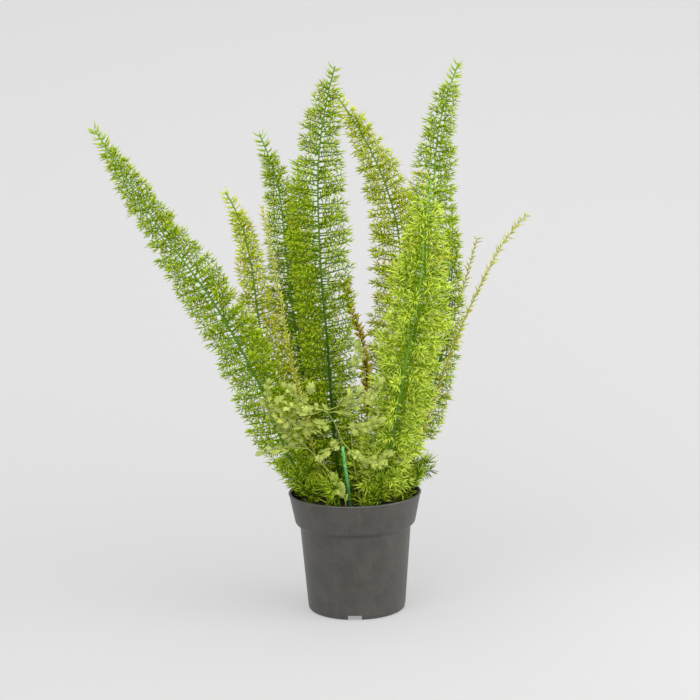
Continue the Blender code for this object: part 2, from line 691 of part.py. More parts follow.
def sprig_routes() -> list:
    """Return the route of each ground sprig: an outer ring that leans over the rim, and inner ones."""
    draw = random.Random(41)
    routes = []
    for index in range(OUTER_SPRIGS):
        turn = math.tau * (index + 0.35) / OUTER_SPRIGS
        across = Vector((math.cos(turn), math.sin(turn), 0.0))
        foot = across * OUTER_SPRIG_CIRCLE + Vector((0.0, 0.0, SOIL_TOP))
        lean = across * draw.uniform(*OUTER_SPRIG_LEAN)
        rise = Vector((0.0, 0.0, draw.uniform(*OUTER_SPRIG_HEIGHT)))
        routes.append([foot, foot + 0.3 * lean + 0.55 * rise, foot + lean + rise])
    for index in range(INNER_SPRIGS):
        turn = math.tau * (index + 0.12) / INNER_SPRIGS
        across = Vector((math.cos(turn), math.sin(turn), 0.0))
        foot = INNER_SPRIG_CENTRE + across * INNER_SPRIG_CIRCLE
        rise = Vector((0.0, 0.0, draw.uniform(*INNER_SPRIG_HEIGHT)))
        tip = foot + across * INNER_SPRIG_LEAN + rise
        routes.append([foot, foot.lerp(tip, 0.5), tip])
    return routes


def make_sprig(name: str, path: Path, room: Room, seed: int) -> None:
    """Make one ground sprig: a short stem with whorls of three needles up to its tip."""
    draw = random.Random(seed)
    stem = Stem(name, path, 3, SPRIG_STEM_RADIUS, 0.6 * SPRIG_STEM_RADIUS, room)
    turn = draw.uniform(0.0, math.pi)
    stem.add_ring(-ROOT_DEPTH, turn)
    bands = stem.add_whorls(SPRIG_BARE, path.length, SPRIG_STEP, turn)
    stem.add_tip(SPRIG_POINT)
    for distance, band in bands:
        angle = SPRIG_NEEDLE_ANGLE * (1.1 - 0.4 * distance / path.length)
        for face in band:
            direction = path.tangent(distance) * math.cos(angle) + face.normal * math.sin(angle)
            stem.raise_needle(face, direction, SPRIG_NEEDLE * draw.uniform(0.85, 1.1))
    stem.finish(GREEN_BRIGHT, 0.55)


def leaf_side(direction: Vector) -> Vector:
    """Return the unit vector across a branch, in the plane that its leaflets lie in."""
    return direction.cross(LEAF_FACE).normalized()


def most_facing(faces: list, direction: Vector) -> bmesh.types.BMFace:
    """Return the face whose normal points most along a direction."""
    return max(faces, key=lambda face: face.normal.dot(direction))


def side_path(path: Path, side: Branch) -> Path:
    """Return the path of a side branch, from the place where it leaves its parent's path."""
    return Path([path.point(side.joins_at * path.length)] + side.route)


class LeafSpray(Stem):
    """A thin branched stem with lobed leaflets, standing in the soil or on the stalk."""

    HALF_SECTION = 0.7 * LEAF_STEM_RADIUS
    SPOT_HALF = 0.0009
    LONGEST_STEP = 0.015
    FIRST_STEP = 0.004
    POINT_RADIUS = 0.0010

    def __init__(self, name: str, path: Path, room: Room, seed: int) -> None:
        super().__init__(name, path, 4, LEAF_STEM_RADIUS, LEAF_STEM_RADIUS, room)
        self.draw = random.Random(seed)
        self.taken = []

    def make(self, branch: Branch, start: float) -> None:
        """Make the spray from its first section, at a distance along its path, to its last leaflet."""
        across = leaf_side(self.path.tangent(0.0))
        turn = self.path.across(0.0, 0.0).angle(across)
        if self.path.across(0.0, turn).dot(across) < self.path.across(0.0, -turn).dot(across):
            turn = -turn
        self.add_ring(start, turn + math.pi / 4)
        self.add_ring(start + self.FIRST_STEP, turn + math.pi / 4)
        end = self.add_flat_end()
        self.enter_stem(branch, self.path)
        self.grow_branch(end, branch, self.path, start + self.FIRST_STEP)
        self.finish(PALE_LEAF, 0.5)

    def enter_stem(self, branch: Branch, path: Path) -> None:
        """Note where this branch and its side branches run, so that no leaflet crosses them."""
        spots = np.arange(0.0, path.length, 2 * self.POINT_RADIUS)
        self.taken.extend((path.point(float(spot)), self.POINT_RADIUS) for spot in spots)
        for side in branch.sides:
            self.enter_stem(side, side_path(path, side))

    def section(self, end: bmesh.types.BMFace, path: Path, distance: float) -> tuple:
        """Extrude a branch's end face to a square section at a distance along its path."""
        direction = path.tangent(distance)
        across = leaf_side(direction)
        halves = (self.HALF_SECTION, self.HALF_SECTION)
        return self.extrude_to(end, path.point(distance), (across, direction.cross(across)), halves)

    def grow_branch(self, end: bmesh.types.BMFace, branch: Branch, path: Path, start: float) -> None:
        """Grow a branch from a face, with its leaflets left and right in turn and its side branches.

        Args:
            end: the face that the branch grows on from.
            branch: the branch's own sizes and side branches.
            path: the path that it follows.
            start: distance along the path of the face that it grows from.
        """
        joins = [side.joins_at * path.length for side in branch.sides]
        rows = max(1, round((path.length - branch.bare) / LEAF_STEP))
        leaves = [branch.bare + (path.length - branch.bare) * index / rows for index in range(rows)]
        leaves = [spot for spot in leaves if all(abs(spot - join) > LEAF_JOIN_GAP for join in joins)]
        spots = [(spot, None) for spot in leaves] + list(zip(joins, branch.sides))
        spots.sort(key=lambda entry: entry[0])
        last = start
        left = self.draw.random() < 0.5
        for spot, sub_branch in spots:
            while spot - last > 1.3 * self.LONGEST_STEP:
                last += self.LONGEST_STEP
                end, _ = self.section(end, path, last)
            end, _ = self.section(end, path, spot - self.SPOT_HALF)
            end, beside = self.section(end, path, spot + self.SPOT_HALF)
            last = spot + self.SPOT_HALF
            direction = path.tangent(spot)
            across = leaf_side(direction)
            if sub_branch is None:
                self.grow_side_leaflet(beside, direction, across * (-1.0 if left else 1.0))
                left = not left
            else:
                towards = (sub_branch.route[0] - path.point(spot)).dot(across)
                face = most_facing(beside, across * math.copysign(1.0, towards))
                sub_path = Path([face.calc_center_median()] + sub_branch.route)
                self.grow_branch(face, sub_branch, sub_path, 0.0)
                left = towards > 0.0
        end, _ = self.section(end, path, path.length)
        direction = path.tangent(path.length)
        self.grow_leaflet(end, direction, leaf_side(direction), 0.9)

    def grow_side_leaflet(self, beside: list, direction: Vector, outward: Vector) -> None:
        """Grow a leaflet from the side of a branch, splayed forward from square."""
        splay = LEAF_SPLAY * self.draw.uniform(0.85, 1.1)
        ahead = direction * math.cos(splay) + outward * math.sin(splay)
        lie = direction * math.sin(splay) - outward * math.cos(splay)
        self.grow_leaflet(most_facing(beside, outward), ahead, lie, self.draw.uniform(0.8, 1.08))

    def leaflet_size(self, foot: Vector, ahead: Vector, side: Vector, size: float) -> float:
        """Return the largest size at which a leaflet clears its neighbours, or 0 where none does."""
        for share in LEAF_SHARES:
            length = LEAF_LENGTH * size * share
            half = LEAF_HALF_WIDTH * size * share
            middle = foot + ahead * 0.66 * length
            reach = side * (1.0 + LEAF_SIDE_LOBE) * half
            spots = [(middle, half), (foot + ahead * length, self.POINT_RADIUS),
                     (middle + reach, self.POINT_RADIUS), (middle - reach, self.POINT_RADIUS)]
            roomy = all(self.room.line_free(self.name, foot, point) for point, _ in spots)
            clear = all((point - other).length > radius + other_radius
                        for point, radius in spots for other, other_radius in self.taken)
            if roomy and clear:
                self.taken.extend(spots)
                return size * share
        return 0.0

    def grow_leaflet(self, face: bmesh.types.BMFace, ahead: Vector, side: Vector, size: float) -> None:
        """Grow a leaflet with three lobes from a face, smaller or not at all where it has no room.

        Args:
            face: the face that the leaflet's stalk leaves from.
            ahead: unit vector from the stalk to the leaflet's tip.
            side: unit vector across the leaflet, in its plane.
            size: 1 for a full leaflet, less for a small one.
        """
        foot = face.calc_center_median()
        size = self.leaflet_size(foot, ahead, side, size)
        if size == 0.0:
            return
        length = LEAF_LENGTH * size
        half = LEAF_HALF_WIDTH * size
        edge = LEAF_HALF_THICKNESS
        axes = (side, ahead.cross(side))
        end, _ = self.extrude_to(face, foot + ahead * LEAF_STALK_SHARE * length, axes, (edge, edge))
        end, _ = self.extrude_to(end, foot + ahead * LEAF_SHOULDER_SHARE * length, axes, (0.62 * half, edge))
        end, beside = self.extrude_to(end, foot + ahead * LEAF_LOBE_SHARE * length, axes, (half, edge))
        for sign in (-1.0, 1.0):
            near = most_facing(beside, side * sign)
            tip = near.calc_center_median() + side * sign * LEAF_SIDE_LOBE * half + ahead * 0.06 * length
            bmesh.ops.poke(self.solid, faces=[near])["verts"][0].co = tip
            beside.remove(near)
        bmesh.ops.poke(self.solid, faces=[end])["verts"][0].co = foot + ahead * length


def make_stalk(path: Path, room: Room) -> None:
    """Make the bare stalk that stands in the soil and carries the middle leaf spray."""
    stalk = Stem("green_stalk", path, STALK_SIDES, STALK_RADIUS, 0.8 * STALK_RADIUS, room)
    for index in range(STALK_RINGS + 1):
        stalk.add_ring(-ROOT_DEPTH + (path.length + ROOT_DEPTH) * index / STALK_RINGS, 0.0)
    stalk.add_flat_end()
    stalk.finish(STALK_GREEN, 0.45)


def enter_branch(room: Room, owner: str, branch: Branch, path: Path) -> None:
    """Enter a leaf branch and its side branches into the room, with a leaflet's length as their reach."""
    room.add(owner, path, claim_profile(path, branch.bare - CLAIM_RAMP, 1.2 * LEAF_LENGTH, CLAIM_RAMP))
    for side in branch.sides:
        enter_branch(room, owner, side, side_path(path, side))


def main() -> None:
    """Clear the scene and build every piece."""
    for old in list(bpy.data.objects):
        bpy.data.objects.remove(old, do_unlink=True)

    plumes = [(plume, standing_path(plume.route)) for plume in PLUMES]
    shoots = [(shoot, standing_path(shoot.route)) for shoot in SHOOTS]
    sprigs = [(f"sprig_{index + 1:02d}", standing_path(route)) for index, route in enumerate(sprig_routes())]
    stalk_path = standing_path(STALK_ROUTE)
    stalk_end = stalk_path.tangent(stalk_path.length)
    seat = stalk_path.point(stalk_path.length) + stalk_end * SEAT_GAP
    sprays = [
        ("leaf_spray_left", LEFT_SPRAY, standing_path(LEFT_SPRAY.route), -ROOT_DEPTH),
        ("leaf_spray_right", RIGHT_SPRAY, standing_path(RIGHT_SPRAY.route), -ROOT_DEPTH),
        ("leaf_spray_middle", MIDDLE_SPRAY, Path([seat] + MIDDLE_SPRAY.route, stalk_end), 0.0),
    ]

    room = Room()
    for plume, path in plumes:
        room.add(plume.name, path, claim_profile(path, plume.bare - CLAIM_RAMP, plume.reach, TAPER_STRETCH))
    for shoot, path in shoots:
        claims = claim_profile(path, shoot.bare - CLAIM_RAMP, 1.2 * shoot.bract, CLAIM_RAMP)
        room.add(shoot.name, path, claims)
    for name, path in sprigs:
        room.add(name, path, claim_profile(path, 0.0, 1.2 * SPRIG_NEEDLE, CLAIM_RAMP))
    for name, branch, path, _ in sprays:
        enter_branch(room, name, branch, path)
    room.add("green_stalk", stalk_path, np.full(len(stalk_path.points), BARE_CLAIM))
    room.close()

    rooted = [(path, STEM_FOOT_RADIUS) for _, path in plumes + shoots]
    rooted += [(path, SPRIG_STEM_RADIUS) for _, path in sprigs]
    rooted += [(path, LEAF_STEM_RADIUS) for _, _, path, start in sprays if start < 0.0]
    rooted += [(stalk_path, STALK_RADIUS)]
    make_pot()
    make_soil(rooted)
    make_stalk(stalk_path, room)
    for index, (plume, path) in enumerate(plumes):
        make_plume(plume, path, room, index + 1)
    for index, (shoot, path) in enumerate(shoots):
        make_shoot(shoot, path, room, index + 21)
    for index, (name, path) in enumerate(sprigs):
        make_sprig(name, path, room, index + 51)
    for index, (name, branch, path, start) in enumerate(sprays):
        LeafSpray(name, path, room, index + 81).make(branch, start)


main()
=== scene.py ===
"""Foxtail fern in a plastic nursery pot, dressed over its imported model. Metres, +Z up."""

import logging
import math
import random
from collections.abc import Callable
from dataclasses import dataclass, field
from enum import Enum

import bmesh
import bpy
import numpy as np
from mathutils import Matrix, Vector

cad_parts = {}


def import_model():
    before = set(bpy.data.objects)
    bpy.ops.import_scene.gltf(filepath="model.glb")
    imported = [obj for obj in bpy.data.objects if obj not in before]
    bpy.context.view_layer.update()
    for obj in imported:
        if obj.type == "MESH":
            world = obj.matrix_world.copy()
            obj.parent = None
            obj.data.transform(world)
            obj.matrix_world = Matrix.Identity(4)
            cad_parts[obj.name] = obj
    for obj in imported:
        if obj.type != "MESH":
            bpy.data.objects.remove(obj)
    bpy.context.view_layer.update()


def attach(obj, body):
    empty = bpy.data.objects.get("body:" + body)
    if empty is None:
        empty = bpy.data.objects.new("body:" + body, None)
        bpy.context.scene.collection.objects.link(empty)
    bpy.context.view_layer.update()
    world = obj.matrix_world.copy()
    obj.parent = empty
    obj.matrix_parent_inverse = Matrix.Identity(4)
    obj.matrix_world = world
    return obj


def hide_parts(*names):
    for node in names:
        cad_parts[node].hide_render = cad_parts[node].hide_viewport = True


log = logging.getLogger("foxtail_fern")

MM = 0.001
BODY = "root"
# The mesh attribute that tells a finish where a vertex is along its part, its tone, and which part it is.
GROWTH = "growth"
# Height at which stems leave the soil, and how far they run down into its holes.
SOIL_TOP = 0.0980
ROOT_DEPTH = 0.014
# The pot's inside at its mouth, and the height above which needles pass over the rim.
MOUTH_RADIUS = 0.0562
MOUTH_HEIGHT = 0.1100
# Gap between the stalk's end and the leaf spray that stands on it.
SEAT_GAP = 0.0003


class Part(Enum):
    """What a vertex belongs to, as the value that the finishes read from the growth attribute."""

    STEM = 0.0
    ARM = 0.5
    NEEDLE = 1.0


def linear(code: str) -> tuple[float, float, float, float]:
    """Turn an sRGB hex colour into linear RGBA.

    Args:
        code: the colour as "#RRGGBB".

    Returns:
        Linear red, green and blue with full alpha.
    """
    channels = [int(code[place:place + 2], 16) / 255 for place in (1, 3, 5)]
    made = [c / 12.92 if c <= 0.04045 else ((c + 0.055) / 1.055) ** 2.4 for c in channels]
    return (*made, 1.0)


def unit(rows: np.ndarray) -> np.ndarray:
    """Return each row of an array as a unit vector."""
    return rows / np.linalg.norm(rows, axis=-1, keepdims=True)


# Finishes


class NodeKind(Enum):
    """Kinds of shader node: Blender's name, settings, inputs in the order that add takes them, output."""

    ATTRIBUTE = ("ShaderNodeAttribute", {"attribute_name": GROWTH}, (), "Color")
    PARTS = ("ShaderNodeSeparateColor", {}, (0,), 0)
    PLACE = ("ShaderNodeTexCoord", {}, (), "Object")
    MAPPING = ("ShaderNodeMapping", {}, ("Vector", "Scale"), 0)
    NOISE = ("ShaderNodeTexNoise", {}, ("Vector", "Scale", "Detail"), "Fac")
    MIX = ("ShaderNodeMix", {"data_type": "RGBA"}, (0, 6, 7), 2)
    STEP = ("ShaderNodeMapRange", {"interpolation_type": "SMOOTHSTEP"}, ("Value", "From Min", "From Max"), 0)
    RANGE = ("ShaderNodeMapRange", {}, ("Value", "To Min", "To Max"), 0)
    PRODUCT = ("ShaderNodeMath", {"operation": "MULTIPLY"}, (0, 1), 0)
    SCALED_SUM = ("ShaderNodeMath", {"operation": "MULTIPLY_ADD"}, (0, 1, 2), 0)
    CLAMPED_SUM = ("ShaderNodeMath", {"operation": "ADD", "use_clamp": True}, (0, 1), 0)
    DIFFERENCE = ("ShaderNodeMath", {"operation": "SUBTRACT"}, (0, 1), 0)
    ANGLE = ("ShaderNodeMath", {"operation": "ARCTAN2"}, (0, 1), 0)
    SINE = ("ShaderNodeMath", {"operation": "SINE"}, (0,), 0)
    BUMP = ("ShaderNodeBump", {}, ("Height", "Distance", "Strength"), 0)
    BACK_SIDE = ("ShaderNodeNewGeometry", {}, (), "Backfacing")
    CLEAR = ("ShaderNodeBsdfTransparent", {}, (), 0)
    BLEND = ("ShaderNodeMixShader", {}, (0, 1, 2), 0)


class Graph:
    """A material's node tree, filled one node at a time."""

    def __init__(self, name: str) -> None:
        """Start a material with its surface shader.

        Args:
            name: the material's name.
        """
        self.material = bpy.data.materials.new(name)
        self.material.use_nodes = True
        self.tree = self.material.node_tree
        self.shader = self.tree.nodes["Principled BSDF"]

    def add(self, kind: NodeKind, *inputs: object) -> bpy.types.NodeSocket:
        """Add a node with its settings and links.

        Args:
            kind: the kind of node.
            inputs: what feeds each of its inputs, as feed takes it.

        Returns:
            The output socket that the kind names.
        """
        name, settings, sockets, output = kind.value
        node = self.tree.nodes.new(name)
        for key, value in settings.items():
            setattr(node, key, value)
        for socket, value in zip(sockets, inputs):
            self.feed(node, socket, value)
        return node.outputs[output]

    def feed(self, node: bpy.types.Node, key: str | int, value: object) -> None:
        """Link an output socket to a node's input, or set the input's own value.

        Args:
            node: the node.
            key: the input's name or number.
            value: an output socket, a plain value, or a colour as "#RRGGBB".
        """
        if isinstance(value, bpy.types.NodeSocket):
            self.tree.links.new(value, node.inputs[key])
        else:
            node.inputs[key].default_value = linear(value) if isinstance(value, str) else value

    def growth(self) -> list[bpy.types.NodeSocket]:
        """Return the sockets of the growth attribute's three values."""
        return list(self.add(NodeKind.PARTS, self.add(NodeKind.ATTRIBUTE)).node.outputs)

    def blotches(self, size: float, detail: float,
                 stretch: tuple[float, float, float] = (1.0, 1.0, 1.0)) -> bpy.types.NodeSocket:
        """Lay noise over the piece's own space.

        Args:
            size: width of a blotch in metres.
            detail: octaves of finer noise on it.
            stretch: how much finer the noise runs along each axis.

        Returns:
            The noise value's socket.
        """
        place = self.add(NodeKind.MAPPING, self.add(NodeKind.PLACE), tuple(share / size for share in stretch))
        return self.add(NodeKind.NOISE, place, 1.0, detail)

    def finish(self, inputs: dict[str, object]) -> bpy.types.Material:
        """Feed inputs of the surface shader and return the material.

        Args:
            inputs: what feeds each input, by its name.

        Returns:
            The material.
        """
        for key, value in inputs.items():
            self.feed(self.shader, key, value)
        return self.material


@dataclass(frozen=True)
class NeedleFinish:
    """Waxy plant tissue of stems, arms and needles, grown: smooth, satin, a little paler where it is young.

    The growth attribute gives the place along a needle, its own tone, and which part it is.

    Attributes:
        name: the material's name.
        stem: colour of the stem at its foot.
        young: colour of the stem at its tip.
        arm: colour of the arms.
        shade: darkest colour of the needles.
        light: lightest colour of the needles.
        tip: colour that the needles' tips lean to.
        dry: colour of the dried tips.
    """

    name: str
    stem: str
    young: str
    arm: str
    shade: str
    light: str
    tip: str
    dry: str

    # The green drifts from one or two whorls to the next.
    PATCH = 22 * MM
    PALER = 0.45
    ROUGHNESS = (0.54, 0.72)

    def build(self) -> bpy.types.Material:
        """Build the material.

        Returns:
            The finished material.
        """
        graph = Graph(self.name)
        along, tone, part = graph.growth()
        patch = graph.blotches(self.PATCH, 1.0)
        varied = graph.add(NodeKind.CLAMPED_SUM, tone, graph.add(NodeKind.SCALED_SUM, patch, 0.9, -0.45))
        green = graph.add(NodeKind.MIX, varied, self.shade, self.light)
        paler = graph.add(NodeKind.PRODUCT, graph.add(NodeKind.STEP, along, 0.25, 1.0), self.PALER)
        green = graph.add(NodeKind.MIX, paler, green, self.tip)
        dried = graph.add(NodeKind.PRODUCT, graph.add(NodeKind.STEP, tone, 0.92, 0.98),
                          graph.add(NodeKind.STEP, along, 0.1, 0.8))
        green = graph.add(NodeKind.MIX, dried, green, self.dry)
        stem = graph.add(NodeKind.MIX, graph.add(NodeKind.STEP, along, 0.25, 0.95), self.stem, self.young)
        bark = graph.add(NodeKind.MIX, graph.add(NodeKind.STEP, part, 0.0, 0.5), stem, self.arm)
        return graph.finish({
            "Base Color": graph.add(NodeKind.MIX, graph.add(NodeKind.STEP, part, 0.6, 0.9), bark, green),
            "Roughness": graph.add(NodeKind.RANGE, patch, *self.ROUGHNESS),
            "Specular IOR Level": 0.06})


@dataclass(frozen=True)
class LeafFinish:
    """Thin leaf blades, grown: matt pale green with fine veins that fan out from the stalk.

    The growth attribute gives the place across and along a blade, and its tone.

    Attributes:
        name: the material's name.
        shade: darkest colour of the blades.
        light: lightest colour of the blades.
        vein: colour of the veins.
        stem: colour of the stems.
    """

    name: str = "thin_leaf_blades"
    shade: str = "#5E7816"
    light: str = "#BECA54"
    vein: str = "#E4E89C"
    stem: str = "#98A644"

    # The green drifts from leaflet to leaflet.
    PATCH = 9 * MM
    # A leaflet's veins end less than 1 mm apart. These end about 2 mm apart, so that they show in the render.
    VEINS = 24.0
    VEIN_SHARE = 0.45
    VEIN_DEPTH = 0.08 * MM
    ROUGHNESS = (0.45, 0.62)

    def build(self) -> bpy.types.Material:
        """Build the material.

        Returns:
            The finished material.
        """
        graph = Graph(self.name)
        along, tone, across = graph.growth()
        fan = graph.add(NodeKind.ANGLE, graph.add(NodeKind.DIFFERENCE, across, 0.5), along)
        waves = graph.add(NodeKind.SINE, graph.add(NodeKind.PRODUCT, fan, self.VEINS))
        veins = graph.add(NodeKind.STEP, waves, 0.72, 0.98)
        patch = graph.blotches(self.PATCH, 1.0)
        green = graph.add(NodeKind.MIX, graph.add(NodeKind.MIX, 0.5, tone, patch), self.shade, self.light)
        green = graph.add(NodeKind.MIX, graph.add(NodeKind.PRODUCT, veins, self.VEIN_SHARE), green, self.vein)
        is_stem = graph.add(NodeKind.STEP, across, 1.5, 1.6)
        return graph.finish({
            "Base Color": graph.add(NodeKind.MIX, is_stem, green, self.stem),
            "Roughness": graph.add(NodeKind.RANGE, patch, *self.ROUGHNESS),
            "Normal": graph.add(NodeKind.BUMP, veins, self.VEIN_DEPTH, 1.0)})


@dataclass(frozen=True)
class PotFinish:
    """Recycled polypropylene, injection moulded: matt warm grey, faintly clouded, with fine sparked grain.

    Attributes:
        name: the material's name.
        dark: darker colour of the clouds.
        light: lighter colour of the clouds.
        speck: colour of the specks and faint streaks.
    """

    name: str = "moulded_recycled_polypropylene"
    dark: str = "#2A2822"
    light: str = "#35332D"
    speck: str = "#57544C"

    CLOUD = 16 * MM
    STREAK = 5 * MM
    # The mould's grain is nearer 0.3 mm. It is drawn coarser, so that it shows in the render.
    GRAIN = 1.3 * MM
    GRAIN_DEPTH = 0.06 * MM
    ROUGHNESS = (0.40, 0.52)

    def build(self) -> bpy.types.Material:
        """Build the material.

        Returns:
            The finished material.
        """
        graph = Graph(self.name)
        cloud = graph.blotches(self.CLOUD, 3.0)
        streak = graph.blotches(self.STREAK, 2.0, (1.0, 1.0, 0.18))
        grain = graph.blotches(self.GRAIN, 2.0)
        body = graph.add(NodeKind.MIX, graph.add(NodeKind.STEP, cloud, 0.35, 0.65), self.dark, self.light)
        for pattern, low, high, share in ((streak, 0.5, 0.75, 0.10), (grain, 0.55, 0.70, 0.36)):
            faint = graph.add(NodeKind.PRODUCT, graph.add(NodeKind.STEP, pattern, low, high), share)
            body = graph.add(NodeKind.MIX, faint, body, self.speck)
        return graph.finish({
            "Base Color": body,
            "Roughness": graph.add(NodeKind.RANGE, cloud, *self.ROUGHNESS),
            "Specular IOR Level": 0.85,
            "Normal": graph.add(NodeKind.BUMP, grain, self.GRAIN_DEPTH, 1.0)})


@dataclass(frozen=True)
class SoilFinish:
    """Peat potting mix, loose: nearly black brown crumbs with paler fibres.

    Attributes:
        name: the material's name.
        dark: darkest colour of the crumbs.
        light: lightest colour of the crumbs.
        fibre: colour of the fibres.
    """

    name: str = "peat_potting_mix"
    dark: str = "#1C150F"
    light: str = "#4A3728"
    fibre: str = "#7A5F45"

    CRUMB = 3 * MM
    # Peat's fibres are nearer 0.3 mm across. They are drawn coarser, so that they show in the render.
    FIBRE = 1.5 * MM
    DEPTH = 0.8 * MM

    def build(self) -> bpy.types.Material:
        """Build the material.

        Returns:
            The finished material.
        """
        graph = Graph(self.name)
        crumb = graph.blotches(self.CRUMB, 4.0)
        fibre = graph.blotches(self.FIBRE, 1.0, (0.25, 1.0, 1.0))
        body = graph.add(NodeKind.MIX, graph.add(NodeKind.STEP, crumb, 0.38, 0.68), self.dark, self.light)
        body = graph.add(NodeKind.MIX, graph.add(NodeKind.STEP, fibre, 0.68, 0.78), body, self.fibre)
        return graph.finish({
            "Base Color": body,
            "Roughness": 0.95,
            "Normal": graph.add(NodeKind.BUMP, crumb, self.DEPTH, 1.0)})


@dataclass(frozen=True)
class StalkFinish:
    """Smooth young stalk, grown: glossy bright green, with faint lengthwise streaks.

    Attributes:
        name: the material's name.
        dark: darker colour of the streaks.
        light: lighter colour of the streaks.
    """

    name: str = "smooth_green_stalk"
    dark: str = "#4AA856"
    light: str = "#86D288"

    # A young stalk's lines are nearer 0.3 mm apart. They are drawn coarser, so that they show in the render.
    STREAK = 1.6 * MM
    DEPTH = 0.05 * MM

    def build(self) -> bpy.types.Material:
        """Build the material.

        Returns:
            The finished material.
        """
        graph = Graph(self.name)
        streak = graph.blotches(self.STREAK, 2.0, (1.0, 1.0, 0.08))
        lighter = graph.add(NodeKind.STEP, streak, 0.3, 0.7)
        return graph.finish({
            "Base Color": graph.add(NodeKind.MIX, lighter, self.dark, self.light),
            "Roughness": 0.38,
            "Normal": graph.add(NodeKind.BUMP, streak, self.DEPTH, 1.0)})


# Modelling by hand


class Bench:
    """The modelling bench: Blender's own operators on one object at a time."""

    @staticmethod
    def start() -> None:
        """Leave edit mode and deselect everything."""
        if bpy.context.object is not None and bpy.context.object.mode != "OBJECT":
            bpy.ops.object.mode_set(mode="OBJECT")
        bpy.ops.object.select_all(action="DESELECT")

    @staticmethod
    def begin(name: str, primitive: Callable, **settings: object) -> bpy.types.Object:
        """Add a primitive, settle it at the origin, and enter edit mode with all of it selected.

        Args:
            name: the object's name.
            primitive: the operator that adds it.
            settings: the operator's settings.

        Returns:
            The object in edit mode.
        """
        Bench.start()
        primitive(**settings)
        made = Bench.finish(name)
        bpy.ops.object.mode_set(mode="EDIT")
        bpy.ops.mesh.select_all(action="SELECT")
        return made

    @staticmethod
    def pick(test: Callable[[Vector], bool], faces_only: bool = False) -> None:
        """Select what passes a test of its place.

        Args:
            test: takes a place and says whether it counts.
            faces_only: whether faces are tested by their middle, and not vertices.
        """
        mesh = bmesh.from_edit_mesh(bpy.context.object.data)
        for group in (mesh.verts, mesh.edges, mesh.faces):
            for item in group:
                item.select = False
        if faces_only:
            for face in mesh.faces:
                face.select = test(face.calc_center_median())
            bpy.context.tool_settings.mesh_select_mode = (False, False, True)
        else:
            bpy.context.tool_settings.mesh_select_mode = (True, False, False)
            for vert in mesh.verts:
                vert.select = test(vert.co)
        mesh.select_flush_mode()
        bmesh.update_edit_mesh(bpy.context.object.data)

    @staticmethod
    def pick_rim() -> None:
        """Select the open edge of the surface."""
        bpy.context.tool_settings.mesh_select_mode = (False, True, False)
        bpy.ops.mesh.select_all(action="SELECT")
        bpy.ops.mesh.region_to_loop()

    @staticmethod
    def draw_ring(start: tuple[float, float], end: tuple[float, float]) -> None:
        """Extrude the selected ring and size it anew.

        Args:
            start: the ring's radius and height.
            end: radius and height of the new ring.
        """
        bpy.ops.mesh.extrude_edges_move(TRANSFORM_OT_translate={"value": (0, 0, end[1] - start[1])})
        scale = end[0] / start[0]
        bpy.ops.transform.resize(value=(scale, scale, 1), center_override=(0, 0, end[1]))

    @staticmethod
    def close() -> None:
        """Close the selected ring with a face, and turn all faces outwards."""
        bpy.ops.mesh.edge_face_add()
        bpy.ops.mesh.select_all(action="SELECT")
        bpy.ops.mesh.normals_make_consistent(inside=False)

    @staticmethod
    def finish(name: str) -> bpy.types.Object:
        """Leave edit mode and settle the object at the origin.

        Args:
            name: the object's name.

        Returns:
            The object.
        """
        bpy.ops.object.mode_set(mode="OBJECT")
        made = bpy.context.object
        made.name = made.data.name = name
        bpy.ops.object.transform_apply(location=True, rotation=True, scale=True)
        return made

    @staticmethod
    def apply(made: bpy.types.Object, kind: str, **settings: object) -> None:
        """Add a modifier and apply it.

        Args:
            made: the object.
            kind: Blender's name of the modifier.
            settings: the modifier's settings.
        """
        modifier = made.modifiers.new(kind.title(), kind)
        for key, value in settings.items():
            setattr(modifier, key, value)
        bpy.context.view_layer.objects.active = made
        bpy.ops.object.modifier_apply(modifier=modifier.name)


